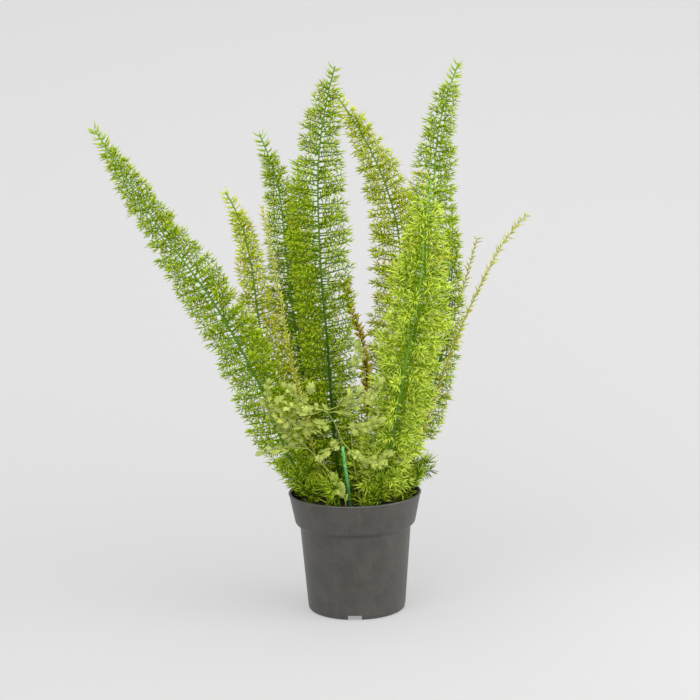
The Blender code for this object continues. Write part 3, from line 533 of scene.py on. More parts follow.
class Shape:
    """A small shape that is modelled once and copied: its corners and triangles."""

    ORIGIN = (0, 0, 0)
    # Sectors of the leaflet's disc: turn and half width in degrees, and how far each is pulled out or in.
    LOBES = ((90, 17, 1.10), (38, 15, 1.02), (142, 15, 1.02), (-14, 14, 0.86), (194, 14, 0.86),
             (64, 5, 0.46), (116, 5, 0.46), (12, 5, 0.44), (168, 5, 0.44), (-55, 5, 0.52), (235, 5, 0.52),
             (90, 5, 0.84), (38, 5, 0.84), (142, 5, 0.84), (-14, 5, 0.82), (194, 5, 0.82))

    def __init__(self, made: bpy.types.Object) -> None:
        """Read a modelled object, which is then removed.

        Args:
            made: the object, standing on the origin and one unit tall.
        """
        Bench.start()
        mesh = made.data
        mesh.calc_loop_triangles()
        self.corners = np.array([vert.co for vert in mesh.vertices])
        self.triangles = np.array([tri.vertices for tri in mesh.loop_triangles])
        bpy.data.objects.remove(made, do_unlink=True)
        bpy.data.meshes.remove(mesh)

    @staticmethod
    def _open_spindle(name: str, sides: int, radius: float, waist: float) -> None:
        """Start a needle in edit mode: a cone on its waist, whose base is drawn down to a second point.

        Args:
            name: the object's name.
            sides: how many flat sides it has.
            radius: radius at the waist.
            waist: height of the waist.
        """
        Bench.begin(name, bpy.ops.mesh.primitive_cone_add, vertices=sides, radius1=radius, radius2=0.0,
                    depth=1.0 - waist, location=(0, 0, 0.5 + 0.5 * waist))
        Bench.pick(lambda middle: middle.z < waist + 0.01, faces_only=True)
        bpy.ops.mesh.poke()
        Bench.pick(lambda place: place.xy.length < 0.01 and place.z < 0.5)
        bpy.ops.transform.translate(value=(0, 0, -waist))

    @classmethod
    def needle(cls, sides: int = 3, bend: float = 0.45, flat: float = 1.0) -> "Shape":
        """Model a needle, bent and flattened at its waist.

        Args:
            sides: how many flat sides it has.
            bend: how far its waist stands out of line, in widths.
            flat: its thickness as a share of its width.

        Returns:
            The shape, one unit wide and one tall.
        """
        waist = 0.42
        cls._open_spindle("needle", sides, 0.5, waist)
        Bench.pick(lambda place: place.xy.length > 0.1)
        bpy.ops.transform.resize(value=(1, flat, 1), center_override=(0, 0, waist))
        bpy.ops.transform.translate(value=(bend, 0, 0))
        return cls(Bench.finish("needle"))

    @classmethod
    def long_needle(cls) -> "Shape":
        """Model a long curved needle with two rings between its points.

        Returns:
            The shape, about one unit wide and one tall.
        """
        waist, middle = 0.22, 0.62
        cls._open_spindle("long_needle", 3, 0.42, waist)
        bpy.ops.mesh.select_all(action="SELECT")
        bpy.ops.mesh.bisect(plane_co=(0, 0, middle), plane_no=(0, 0, 1))
        for height, size, aside in ((middle, 1.75, 0.6), (waist, 1.0, 0.45)):
            Bench.pick(lambda place, z=height: abs(place.z - z) < 0.01)
            bpy.ops.transform.resize(value=(size, size, 1), center_override=(0, 0, height))
            bpy.ops.transform.translate(value=(aside, 0, 0))
        return cls(Bench.finish("long_needle"))

    @classmethod
    def rod(cls, sides: int, rings: int) -> "Shape":
        """Model a rod with rings of edges between its flat ends.

        Args:
            sides: how many flat sides it has.
            rings: how many stretches the rings cut it into.

        Returns:
            The shape, of unit radius and height.
        """
        Bench.begin("rod", bpy.ops.mesh.primitive_cylinder_add, vertices=sides, radius=1, depth=1,
                    location=(0, 0, 0.5))
        for ring in range(1, rings):
            bpy.ops.mesh.select_all(action="SELECT")
            bpy.ops.mesh.bisect(plane_co=(0, 0, ring / rings), plane_no=(0, 0, 1))
        return cls(Bench.finish("rod"))

    @classmethod
    def leaflet(cls) -> "Shape":
        """Model a lobed leaflet: a disc pulled into five lobes, folded along its middle, given a thickness.

        Returns:
            The shape, about one unit wide and one tall.
        """
        Bench.begin("leaflet", bpy.ops.mesh.primitive_circle_add, vertices=40, radius=0.5, fill_type="TRIFAN",
                    location=cls.ORIGIN, rotation=(math.pi / 2, 0, 0))
        for turn, half, size in cls.LOBES:
            Bench.pick(lambda place, t=turn, h=half: place.length > 0.1 and abs(
                (math.degrees(math.atan2(place.z, place.x)) - t + 180) % 360 - 180) < h)
            bpy.ops.transform.resize(value=(size, 1, size), center_override=cls.ORIGIN)
        Bench.pick(lambda place: place.z < -0.3 and abs(place.x) < 0.25)
        bpy.ops.transform.resize(value=(0.35, 1, 1.0), center_override=cls.ORIGIN)
        Bench.pick(lambda place: abs(place.x) > 0.25)
        bpy.ops.transform.translate(value=(0, -0.07, 0))
        Bench.pick(lambda place: place.z > 0.3)
        bpy.ops.transform.translate(value=(0, 0.08, 0))
        bpy.ops.mesh.select_all(action="SELECT")
        bpy.ops.transform.translate(value=(0, 0, 0.5))
        made = Bench.finish("leaflet")
        Bench.apply(made, "SOLIDIFY", thickness=0.035, offset=0.0)
        return cls(made)

    @classmethod
    def crumb(cls, seed: int) -> "Shape":
        """Model a crumb of potting mix: a rough ball, pushed about at its corners.

        Args:
            seed: number that starts the pushing.

        Returns:
            The shape, about one unit across.
        """
        Bench.begin("crumb", bpy.ops.mesh.primitive_ico_sphere_add, subdivisions=1, radius=0.5,
                    location=(0, 0, 0.5))
        bpy.ops.transform.vertex_random(offset=0.22, seed=seed)
        return cls(Bench.finish("crumb"))


class Thicket:
    """Gathers copies of shapes and turns them into one mesh of a piece."""

    def __init__(self, name: str) -> None:
        """Start with no copies.

        Args:
            name: the piece's name.
        """
        self.name = name
        self.corners: list[np.ndarray] = []
        self.triangles: list[np.ndarray] = []
        self.growth: list[np.ndarray] = []
        self.count = 0

    def place(self, corners: np.ndarray, triangles: np.ndarray, along: np.ndarray | float,
              tones: np.ndarray | float, mark: np.ndarray | float) -> None:
        """Add copies whose corners are already in place.

        Args:
            corners: copies by corners by 3, in metres.
            triangles: corner numbers of one copy's triangles.
            along: growth attribute's first value, for each corner of a copy.
            tones: its second value, for each copy.
            mark: its third value, for each corner of a copy.
        """
        copies, each = corners.shape[:2]
        growth = np.empty((copies, each, 3))
        growth[..., 0] = along
        growth[..., 1] = np.reshape(tones, (-1, 1))
        growth[..., 2] = mark
        starts = self.count + each * np.arange(copies)
        self.corners.append(corners.reshape(-1, 3))
        self.growth.append(growth.reshape(-1, 3))
        self.triangles.append((starts[:, None, None] + triangles[None]).reshape(-1, 3))
        self.count += copies * each

    def stamp(self, shape: Shape, feet: np.ndarray, heads: np.ndarray, sides: np.ndarray, widths: np.ndarray,
              lengths: np.ndarray, tones: np.ndarray, part: Part, bends: np.ndarray | None = None,
              tips: float = 1.0) -> None:
        """Add copies of a shape.

        Args:
            shape: the shape, which stands up its own Z axis.
            feet: where each copy stands.
            heads: unit vector up each copy.
            sides: vector that each copy's X axis leans to.
            widths: size of each copy across.
            lengths: size of each copy along.
            tones: tone of each copy from 0 to 1.
            part: what the copies are.
            bends: how far each copy's end is bent aside, growing with the square of the way along.
            tips: width at the end of a copy as a share of that at its foot.
        """
        over = unit(np.cross(heads, sides))
        aside = np.cross(over, heads)
        x, y, z = (shape.corners[:, axis][None, :, None] for axis in range(3))
        wide = widths[:, None, None] * (1.0 + (tips - 1.0) * z)
        corners = (feet[:, None] + aside[:, None] * x * wide + over[:, None] * y * wide
                   + heads[:, None] * z * lengths[:, None, None])
        if bends is not None:
            corners = corners + bends[:, None] * z ** 2
        self.place(corners, shape.triangles, np.clip(z[..., 0], 0.0, 1.0), tones, part.value)

    def lay(self, shape: Shape, path: "Path", start: float, end: float, radii: tuple[float, float],
            mark: float = Part.STEM.value) -> None:
        """Lay a rod along a path.

        Args:
            shape: a rod of unit radius and height.
            path: the path.
            start: distance of the rod's foot along the path, below zero inside the soil.
            end: distance of its end.
            radii: radius at the foot and at the end.
            mark: growth attribute's third value.
        """
        share = shape.corners[:, 2]
        points, tangents, normals = path.at(start + (end - start) * share)
        wide = (radii[0] + (radii[1] - radii[0]) * share)[:, None]
        corners = points + (normals * shape.corners[:, :1] + np.cross(tangents, normals)
                            * shape.corners[:, 1:2]) * wide
        self.place(corners[None], shape.triangles, share, 0.5, mark)

    def build(self, material: bpy.types.Material) -> bpy.types.Object:
        """Turn the copies into one object with the growth attribute.

        Args:
            material: the piece's finish.

        Returns:
            The object.
        """
        corners = np.concatenate(self.corners)
        triangles = np.concatenate(self.triangles)
        growth = np.concatenate(self.growth)
        mesh = bpy.data.meshes.new(self.name)
        mesh.vertices.add(len(corners))
        mesh.vertices.foreach_set("co", corners.ravel())
        mesh.loops.add(triangles.size)
        mesh.loops.foreach_set("vertex_index", triangles.ravel())
        mesh.polygons.add(len(triangles))
        mesh.polygons.foreach_set("loop_start", np.arange(0, triangles.size, 3))
        mesh.polygons.foreach_set("use_smooth", np.ones(len(triangles), bool))
        mesh.update(calc_edges=True)
        layer = mesh.attributes.new(GROWTH, "FLOAT_COLOR", "POINT")
        layer.data.foreach_set("color", np.hstack([growth, np.ones((len(growth), 1))]).ravel())
        mesh.materials.append(material)
        made = bpy.data.objects.new(self.name, mesh)
        bpy.context.scene.collection.objects.link(made)
        return made


class Path:
    """A smooth curve through a route's points, measured by its length, with a frame that never twists."""

    SAMPLES_PER_SPAN = 24
    STEEPER = (0.0, 0.0, 0.9)

    def __init__(self, route: list, first_direction: np.ndarray | None = None) -> None:
        """Sample the curve and carry its frame along.

        Args:
            route: the points that the curve passes through, in metres.
            first_direction: direction at the first point, or None for the curve's own.
        """
        points = np.array(route, float)
        knots = np.concatenate([[0.0], np.cumsum(np.linalg.norm(np.diff(points, axis=0), axis=1))])
        slopes = np.gradient(points, knots, axis=0, edge_order=2 if len(route) > 2 else 1)
        if first_direction is not None:
            slopes[0] = first_direction
        self.points = self._sample(points, knots, slopes)
        steps = np.linalg.norm(np.diff(self.points, axis=0), axis=1)
        self.lengths = np.concatenate([[0.0], np.cumsum(steps)])
        self.length = float(self.lengths[-1])
        self.tangents = unit(np.gradient(self.points, self.lengths, axis=0))
        self.normals = self._carry_normal()

    @classmethod
    def standing(cls, route: list) -> "Path":
        """Return the path of a stem that leaves the soil a little steeper than its route does."""
        towards = unit(np.array(route[1], float) - np.array(route[0], float))
        return cls(route, unit(towards + np.array(cls.STEEPER)))

    def _sample(self, points: np.ndarray, knots: np.ndarray, slopes: np.ndarray) -> np.ndarray:
        """Sample the Hermite spans between the route's points.

        Args:
            points: the route's points.
            knots: distance of each along the straight lines between them.
            slopes: direction of the curve at each.

        Returns:
            Close points along the curve.
        """
        rows = [points[:1]]
        share = np.linspace(0.0, 1.0, self.SAMPLES_PER_SPAN + 1)[1:, None]
        for index in range(len(points) - 1):
            span = knots[index + 1] - knots[index]
            rows.append(
                (2 * share**3 - 3 * share**2 + 1) * points[index]
                + (share**3 - 2 * share**2 + share) * span * slopes[index]
                + (3 * share**2 - 2 * share**3) * points[index + 1]
                + (share**3 - share**2) * span * slopes[index + 1])
        return np.concatenate(rows)

    def _carry_normal(self) -> np.ndarray:
        """Carry one normal along the curve, so that rings stay in line with each other.

        Returns:
            A unit normal for each point.
        """
        normal = np.cross(self.tangents[0], (0.0, 1.0, 0.0))
        rows = []
        for tangent in self.tangents:
            normal = normal - tangent * normal.dot(tangent)
            normal = normal / np.linalg.norm(normal)
            rows.append(normal)
        return np.array(rows)

    def at(self, distances: np.ndarray) -> tuple[np.ndarray, np.ndarray, np.ndarray]:
        """Read the curve at distances along it; outside of them, it runs on straight.

        Args:
            distances: distances from the first point.

        Returns:
            Points, unit tangents and unit normals.
        """
        distances = np.atleast_1d(np.asarray(distances, float))
        inside = np.clip(distances, 0.0, self.length)

        def read(table: np.ndarray) -> np.ndarray:
            """Return a table's rows at the distances that lie on the curve."""
            return np.stack([np.interp(inside, self.lengths, table[:, axis]) for axis in range(3)], 1)

        tangents = unit(read(self.tangents))
        points = read(self.points) + tangents * (distances - inside)[:, None]
        normals = read(self.normals)
        normals = unit(normals - tangents * (normals * tangents).sum(1, keepdims=True))
        return points, tangents, normals


# Foliage


@dataclass(frozen=True)
class Brush:
    """How needles stand on an arm.

    Attributes:
        bare: share of the arm next to the stem that has none.
        step: distance between one node and the next.
        per_node: needles at each node.
        needle: shortest and longest needle.
        width: a needle's width.
        angles: smallest and largest angle of a needle to its arm, in degrees.
        tuft: needles at the arm's end.
        fork: smallest and largest angle of those to the arm, in degrees.
        dry: share of the arms whose needles have dry ends.
        vary: how much tones differ from needle to needle.
    """

    bare: float = 0.18
    step: float = 1.85 * MM
    per_node: int = 2
    needle: tuple[float, float] = (4.8 * MM, 7.6 * MM)
    width: float = 1.44 * MM
    angles: tuple[float, float] = (46.0, 88.0)
    tuft: int = 3
    fork: tuple[float, float] = (8.0, 46.0)
    dry: float = 0.035
    vary: float = 0.30


class Foliage:
    """What plumes, shoots and sprigs share: shapes that are modelled once, and arms that carry needles."""

    # How far needles stray about their arm, in radians, and how much longer those at its end are.
    ROLL_SCATTER = 0.35
    STAR_SCATTER = 0.3
    TUFT_LENGTH = 1.15
    # How many of a dry arm's needles are dry, and the least that the pot's wall leaves of a needle.
    DRY_SHARE = 0.7
    SHORTEST_SHARE = 0.15

    def __init__(self) -> None:
        """Model the shapes."""
        self.fine_needle = Shape.needle()
        self.bract = Shape.needle(sides=4, bend=0.25, flat=0.4)
        self.long_needle = Shape.long_needle()
        self.arm = Shape.rod(3, 3)
        self.stem = Shape.rod(6, 64)
        self.twig = Shape.rod(5, 10)

    def needles_on_arms(self, thicket: Thicket, rng: np.random.Generator, brush: Brush, feet: np.ndarray,
                        heads: np.ndarray, ups: np.ndarray, lengths: np.ndarray, bends: np.ndarray,
                        tones: np.ndarray, shape: Shape | None = None) -> None:
        """Set needles along arms and a star of them at each arm's end.

        Args:
            thicket: what gathers the copies.
            rng: the piece's own random draws.
            brush: how the needles stand.
            feet: where each arm starts.
            heads: unit vector along each arm at its foot.
            ups: unit vector that counts as up for each arm.
            lengths: each arm's length.
            bends: how far each arm's end is bent aside.
            tones: each arm's tone.
            shape: the needle's shape, or None for the fine one.
        """
        nodes = np.maximum(1, np.round(lengths * (1.0 - brush.bare) / brush.step)).astype(int)
        arm = np.repeat(np.arange(len(feet)), nodes)
        place = np.arange(len(arm)) - np.repeat(np.cumsum(nodes) - nodes, nodes)
        share = brush.bare + (1.0 - brush.bare) * (place + rng.uniform(0.1, 0.9, len(arm))) / nodes[arm]
        arm = np.repeat(arm, brush.per_node)
        share = np.repeat(share, brush.per_node)
        roll = np.repeat(rng.uniform(0, math.tau, len(arm) // brush.per_node), brush.per_node)
        round_node = np.arange(brush.per_node) * math.tau / brush.per_node
        roll = roll + np.tile(round_node, len(arm) // brush.per_node)
        roll = roll + rng.normal(0.0, self.ROLL_SCATTER, len(arm))
        angle = np.radians(rng.uniform(*brush.angles, len(arm)))
        size = rng.uniform(*brush.needle, len(arm))

        ends = np.repeat(np.arange(len(feet)), brush.tuft)
        dried = rng.random(len(feet)) < brush.dry
        arm = np.concatenate([arm, ends])
        share = np.concatenate([share, np.ones(len(ends)) - rng.uniform(0.0, 0.04, len(ends))])
        star = np.tile(np.arange(brush.tuft), len(feet)) * math.tau / brush.tuft
        roll = np.concatenate([roll, star + rng.normal(0.0, self.STAR_SCATTER, len(ends))])
        angle = np.concatenate([angle, np.radians(rng.uniform(*brush.fork, len(ends)))])
        size = np.concatenate([size, rng.uniform(*brush.needle, len(ends)) * self.TUFT_LENGTH])

        head = unit(heads[arm] * lengths[arm, None] + 2.0 * bends[arm] * share[:, None])
        foot = feet[arm] + heads[arm] * (lengths[arm] * share)[:, None] + bends[arm] * share[:, None] ** 2
        side = unit(np.cross(head, ups[arm]))
        over = np.cross(side, head)
        across = side * np.cos(roll)[:, None] + over * np.sin(roll)[:, None]
        along = head * np.cos(angle)[:, None] + across * np.sin(angle)[:, None]
        tone = np.clip(tones[arm] + rng.normal(0.0, brush.vary, len(arm)), 0.0, 0.9)
        tone = np.where(dried[arm] & (rng.random(len(arm)) < self.DRY_SHARE), 1.0, tone)
        wide = brush.width * rng.uniform(0.85, 1.15, len(arm))
        size = self._inside_pot(foot, along, size)
        thicket.stamp(shape or self.fine_needle, foot, along, -head, wide, size, tone, Part.NEEDLE)

    def _inside_pot(self, feet: np.ndarray, heads: np.ndarray, sizes: np.ndarray) -> np.ndarray:
        """Shorten the needles that would run through the pot's wall.

        Args:
            feet: where each needle stands.
            heads: unit vector along each.
            sizes: each one's length.

        Returns:
            The lengths that keep clear of the wall.
        """
        tips = feet + heads * sizes[:, None]
        start = np.hypot(feet[:, 0], feet[:, 1])
        end = np.hypot(tips[:, 0], tips[:, 1])
        share = np.clip((MOUTH_RADIUS - start) / np.maximum(end - start, 1e-6), self.SHORTEST_SHARE, 1.0)
        return np.where((tips[:, 2] < MOUTH_HEIGHT) & (end > MOUTH_RADIUS), sizes * share, sizes)


@dataclass
class Plume:
    """A bottlebrush plume: a long stem with whorls of arms, each a brush of needles.

    Attributes:
        node: the node that it stands for.
        slot: the record's material slot.
        route: points that the stem passes through.
        reach: half width where it is fullest.
        bare: stem length above the soil without arms.
        flatness: 0 where the arms stand out all round, 1 where they lie in one plane that faces the front.
        seed: number that starts its random draws.
        taper: how much longer than usual the plume takes to reach its full width.
        tone: mean tone of its needles, from 0 for the finish's shade to 1 for its light.
        ragged: shortest and longest arm as shares of the half width there.
        step: distance between one pair of arms and the next.
        open_front: sine of the turn to the front above which no other arms stand, so that the stem shows.
        brush: how its arms carry needles.
        finish: name of its finish where it isn't the slot's.
        foot: share of the half width that its lowest arms have.
    """

    node: str
    slot: str
    route: list
    reach: float
    bare: float
    flatness: float
    seed: int
    taper: float = 1.0
    tone: float = 0.5
    ragged: tuple[float, float] = (0.80, 1.08)
    step: float = 4.5 * MM
    open_front: float = 0.80
    brush: Brush = field(default_factory=Brush)
    finish: str = ""
    foot: float = 1.0

    FOOT_RADIUS = 1.3 * MM
    TIP_RADIUS = 0.75 * MM
    # Stretches of the stem: its bare end, the needles below that, above the last arm, and the narrow foot.
    TIP_END = 0.004
    TIP_ZONE = 0.045
    FIRST_ARM = 0.026
    FOOT_ZONE = 0.055
    FACING = (0.0, -1.0, 0.0)
    # Rungs: where the second of a pair stands, as a share of the step, and how far the two stray.
    RUNG_OFFSET = 0.45
    RUNG_SCATTER = 0.35 * MM
    RUNG_TURN = math.radians(13.0)
    # Other arms: how many of them where the plume is round, as a share of the rungs, how many at the tip,
    # and the turn from one to the next.
    OTHERS = 1.8
    OTHERS_TIP = 0.6
    GOLDEN_TURN = math.radians(137.5)
    # Arms: lift in degrees, lift added near the tip in radians and over what length, rise at their end.
    LIFT = (6.0, 6.0)
    TIP_LIFT = 0.25
    TIP_LIFT_ZONE = 0.05
    BEND = (0.06, 0.06)
    TONE_SPREAD = 0.14
    NEEDLE_SHARE = 0.8
    SHORTEST_ARM = 1.2 * MM
    LONG_ARM = 0.02
    ARM_RADII = (0.50 * MM, 0.74 * MM)
    # Needles that stand on the stem at its tip.
    TIP_NEEDLE = (8.0 * MM, 10.6 * MM)
    TIP_NEEDLE_WIDTH = 1.35 * MM
    # Half width as a share of the full one, at distances from the tip.
    WIDTHS = ((0.000, 0.12), (0.005, 0.22), (0.012, 0.34), (0.023, 0.42), (0.036, 0.50), (0.049, 0.57),
              (0.066, 0.66), (0.088, 0.77), (0.115, 0.90), (0.150, 1.0))

    def half_width(self, from_tip: np.ndarray) -> np.ndarray:
        """Return the plume's half width at distances from its tip."""
        places, shares = zip(*self.WIDTHS)
        return self.reach * np.interp(from_tip / self.taper, places, shares)

    def build(self, foliage: Foliage, material: bpy.types.Material) -> bpy.types.Object:
        """Build the plume's mesh and dress it.

        Args:
            foliage: the shapes and the way that arms carry needles.
            material: the plume's finish.

        Returns:
            The finished piece.
        """
        rng = np.random.default_rng(self.seed)
        path = Path.standing(self.route)
        thicket = Thicket(f"{self.node}_foliage")
        thicket.lay(foliage.stem, path, -ROOT_DEPTH, path.length - self.TIP_END,
                    (self.FOOT_RADIUS, self.TIP_RADIUS))
        self._grow_arms(foliage, thicket, rng, path)
        self._grow_tip(foliage, thicket, rng, path)
        return dress(thicket.build(material), self.node)

    def _directions(self, tangents: np.ndarray, turns: np.ndarray) -> np.ndarray:
        """Turn away from the plume's own plane, about the stem.

        Args:
            tangents: unit vectors along the stem.
            turns: turns from the plane.

        Returns:
            Unit vectors across the stem.
        """
        across = unit(np.cross(tangents, self.FACING))
        outward = unit(np.cross(across, tangents))
        return across * np.cos(turns)[:, None] + outward * np.sin(turns)[:, None]

    def _spots(self, rng: np.random.Generator, start: float, end: float,
               share: float) -> tuple[np.ndarray, np.ndarray]:
        """Return where arms leave the stem: pairs of rungs in the plane, and others all round.

        Args:
            rng: the plume's own random draws.
            start: distance of the first along the stem.
            end: distance of the last.
            share: how many others there are, as a share of the rungs.

        Returns:
            Distances along the stem, and turns about it from the plume's plane.
        """
        rows = np.arange(start, end, self.step)
        sides = np.tile([0.0, 1.0], len(rows))
        rungs = np.repeat(rows, 2) + sides * self.RUNG_OFFSET * self.step + rng.normal(
            0.0, self.RUNG_SCATTER, len(sides))
        turns = sides * math.pi + rng.normal(0.0, self.RUNG_TURN, len(sides))
        others = np.linspace(start, end, max(1, int(share * len(rungs)))) + 0.7 * MM
        round_turns = np.arange(len(others)) * self.GOLDEN_TURN + rng.normal(0.0, 0.3, len(others))
        aside = np.sin(round_turns) < self.open_front
        return np.concatenate([rungs, others[aside]]), np.concatenate([turns, round_turns[aside]])

    def _grow_arms(self, foliage: Foliage, thicket: Thicket, rng: np.random.Generator, path: Path) -> None:
        """Grow the arms from the bare foot to the start of the tip.

        Args:
            foliage: the shapes and the way that arms carry needles.
            thicket: what gathers the copies.
            rng: the plume's own random draws.
            path: the stem's path.
        """
        distances, turns = self._spots(rng, self.bare, path.length - self.FIRST_ARM,
                                       self.OTHERS * (1.0 - self.flatness))
        points, tangents, _ = path.at(distances)
        outs = self._directions(tangents, turns)
        from_tip = path.length - distances
        lift = np.radians(rng.normal(*self.LIFT, len(distances))) + self.TIP_LIFT * np.clip(
            1.0 - from_tip / self.TIP_LIFT_ZONE, 0.0, 1.0)
        heads = unit(outs * np.cos(lift)[:, None] + tangents * np.sin(lift)[:, None])
        opening = np.interp(distances - self.bare, (0.0, self.FOOT_ZONE), (self.foot, 1.0))
        reach = self.half_width(from_tip) * opening * rng.uniform(*self.ragged, len(distances))
        lengths = np.maximum(reach - self.NEEDLE_SHARE * self.brush.needle[1], self.SHORTEST_ARM)
        bends = tangents * (lengths * rng.normal(*self.BEND, len(lengths)))[:, None]
        tones = np.clip(rng.normal(self.tone, self.TONE_SPREAD, len(lengths)), 0.05, 0.95)
        radii = np.interp(lengths, (0.0, self.LONG_ARM), self.ARM_RADII)
        thicket.stamp(foliage.arm, points, heads, tangents, radii, lengths, tones, Part.ARM, bends, tips=0.6)
        foliage.needles_on_arms(thicket, rng, self.brush, points, heads, tangents, lengths, bends, tones)

    def _grow_tip(self, foliage: Foliage, thicket: Thicket, rng: np.random.Generator, path: Path) -> None:
        """Grow needles straight from the stem up to the tip, two together.

        Args:
            foliage: the shapes.
            thicket: what gathers the copies.
            rng: the plume's own random draws.
            path: the stem's path.
        """
        end = path.length - self.TIP_END
        distances, turns = self._spots(rng, end - self.TIP_ZONE, end, self.OTHERS_TIP)
        distances = np.repeat(distances, 2) + rng.normal(0.0, 0.3 * MM, 2 * len(distances))
        turns = np.repeat(turns, 2) + rng.normal(0.0, 0.4, 2 * len(turns))
        points, tangents, _ = path.at(distances)
        outs = self._directions(tangents, turns)
        lengths = rng.uniform(*self.TIP_NEEDLE, len(points)) * np.interp(
            end - distances, (0.0, 0.01), (0.95, 1.0))
        reach = self.half_width(path.length - distances) / lengths
        angle = np.arcsin(np.clip(reach * rng.uniform(0.8, 1.15, len(points)), 0.25, 0.88))
        heads = tangents * np.cos(angle)[:, None] + outs * np.sin(angle)[:, None]
        widths = np.full(len(points), self.TIP_NEEDLE_WIDTH)
        thicket.stamp(foliage.long_needle, points, heads, -tangents, widths, lengths,
                      rng.uniform(0.1, 0.8, len(points)), Part.NEEDLE)


@dataclass
class Shoot:
    """A thin young shoot whose short bracts stand straight on the stem.

    Attributes:
        node: the node that it stands for.
        slot: the record's material slot.
        route: points that the stem passes through.
        bare: stem length above the soil without bracts.
        bract: shortest and longest bract.
        step: distance between one pair of bracts and the next.
        seed: number that starts its random draws.
        width: a bract's width.
        per_row: bracts at each node.
        angles: smallest and largest angle of a bract to the stem, in degrees.
    """

    node: str
    slot: str
    route: list
    bare: float
    bract: tuple[float, float]
    step: float
    seed: int
    width: float = 1.4 * MM
    per_row: int = 3
    angles: tuple[float, float] = (28.0, 64.0)

    FOOT_RADIUS = 0.9 * MM
    TIP_RADIUS = 0.4 * MM
    ROW_TURN = math.radians(67.0)

    def build(self, foliage: Foliage, material: bpy.types.Material) -> bpy.types.Object:
        """Build the shoot's mesh and dress it.

        Args:
            foliage: the shapes.
            material: the shoot's finish.

        Returns:
            The finished piece.
        """
        rng = np.random.default_rng(self.seed)
        path = Path.standing(self.route)
        thicket = Thicket(f"{self.node}_foliage")
        thicket.lay(foliage.stem, path, -ROOT_DEPTH, path.length, (self.FOOT_RADIUS, self.TIP_RADIUS))
        rows = np.arange(self.bare, path.length, self.step)
        distances = np.repeat(rows, self.per_row) + rng.normal(0.0, 0.5 * MM, self.per_row * len(rows))
        turn = np.repeat(np.arange(len(rows)) * self.ROW_TURN, self.per_row) + np.tile(
            np.arange(self.per_row) * math.tau / self.per_row, len(rows))
        turn = turn + rng.normal(0.0, 0.4, len(turn))
        points, tangents, normals = path.at(distances)
        over = np.cross(tangents, normals)
        outs = normals * np.cos(turn)[:, None] + over * np.sin(turn)[:, None]
        angle = np.radians(rng.uniform(*self.angles, len(distances)))
        heads = tangents * np.cos(angle)[:, None] + outs * np.sin(angle)[:, None]
        count = len(points)
        thicket.stamp(foliage.bract, points, heads, tangents, self.width * rng.uniform(0.8, 1.2, count),
                      rng.uniform(*self.bract, count), rng.uniform(0.0, 1.0, count), Part.NEEDLE)
        return dress(thicket.build(material), self.node)


@dataclass
class Sprig:
    """A short ground sprig: a few twigs with whorls of long needles, which hides the soil.

    Attributes:
        node: the node that it stands for.
        route: points that its main twig passes through.
        seed: number that starts its random draws.
    """

    node: str
    route: list
    seed: int

    SLOT = "sprig_green"
    BRUSH = Brush(bare=0.15, step=3.4 * MM, per_node=5, needle=(7.5 * MM, 11.5 * MM), width=1.15 * MM,
                  angles=(40.0, 74.0), tuft=6, vary=0.40)
    STEM_RADII = (1.0 * MM, 0.6 * MM)
    TWIGS = 17
    TWIG_TURN = 2.4
    TWIG_LEAN = (20.0, 84.0)
    TWIG_LENGTH = (0.011, 0.023)
    TWIG_RADIUS = 0.55 * MM
    TWIG_BEND = 0.12
    # Twigs are left out in front of this point, where the stalk leans out, and where they run into the rim.
    CLEAR = (-0.010, -0.026)
    CLEAR_HALF = 10.0 * MM
    RIM_RADIUS = 0.056
    RIM_TOP = 0.122

    def build(self, foliage: Foliage, material: bpy.types.Material) -> bpy.types.Object:
        """Build the sprig's mesh and dress it.

        Args:
            foliage: the shapes and the way that arms carry needles.
            material: the sprig's finish.

        Returns:
            The finished piece.
        """
        rng = np.random.default_rng(self.seed)
        path = Path.standing(self.route)
        thicket = Thicket(f"{self.node}_foliage")
        thicket.lay(foliage.twig, path, -ROOT_DEPTH, path.length, self.STEM_RADII)
        points = path.at(rng.uniform(0.05, 0.7, self.TWIGS) * path.length)[0]
        turn = np.arange(self.TWIGS) * self.TWIG_TURN + rng.uniform(0.0, 6.28)
        lean = np.radians(rng.uniform(*self.TWIG_LEAN, self.TWIGS))
        heads = np.stack([np.cos(turn) * np.sin(lean), np.sin(turn) * np.sin(lean), np.cos(lean)], 1)
        lengths = rng.uniform(*self.TWIG_LENGTH, self.TWIGS)
        ends = points + heads * lengths[:, None]
        clear = (np.abs(ends[:, 0] - self.CLEAR[0]) > self.CLEAR_HALF) | (ends[:, 1] > self.CLEAR[1])
        clear &= (np.hypot(ends[:, 0], ends[:, 1]) < self.RIM_RADIUS) | (ends[:, 2] > self.RIM_TOP)
        feet = np.concatenate([points[clear], path.at([0.35 * path.length])[0]])
        heads = np.concatenate([heads[clear], path.at([0.6 * path.length])[1]])
        lengths = np.concatenate([lengths[clear], [0.62 * path.length]])
        ups = np.tile((0.3, 0.1, 0.95), (len(feet), 1))
        bends = np.tile((0.0, 0.0, 1.0), (len(feet), 1)) * (lengths * self.TWIG_BEND)[:, None]
        tones = np.clip(rng.normal(0.5, 0.2, len(feet)), 0.0, 1.0)
        radii = np.full(len(feet), self.TWIG_RADIUS)
        thicket.stamp(foliage.arm, feet, heads, ups, radii, lengths, tones, Part.ARM, bends, tips=0.6)
        foliage.needles_on_arms(thicket, rng, self.BRUSH, feet, heads, ups, lengths, bends, tones,
                                foliage.long_needle)
        return dress(thicket.build(material), self.node)


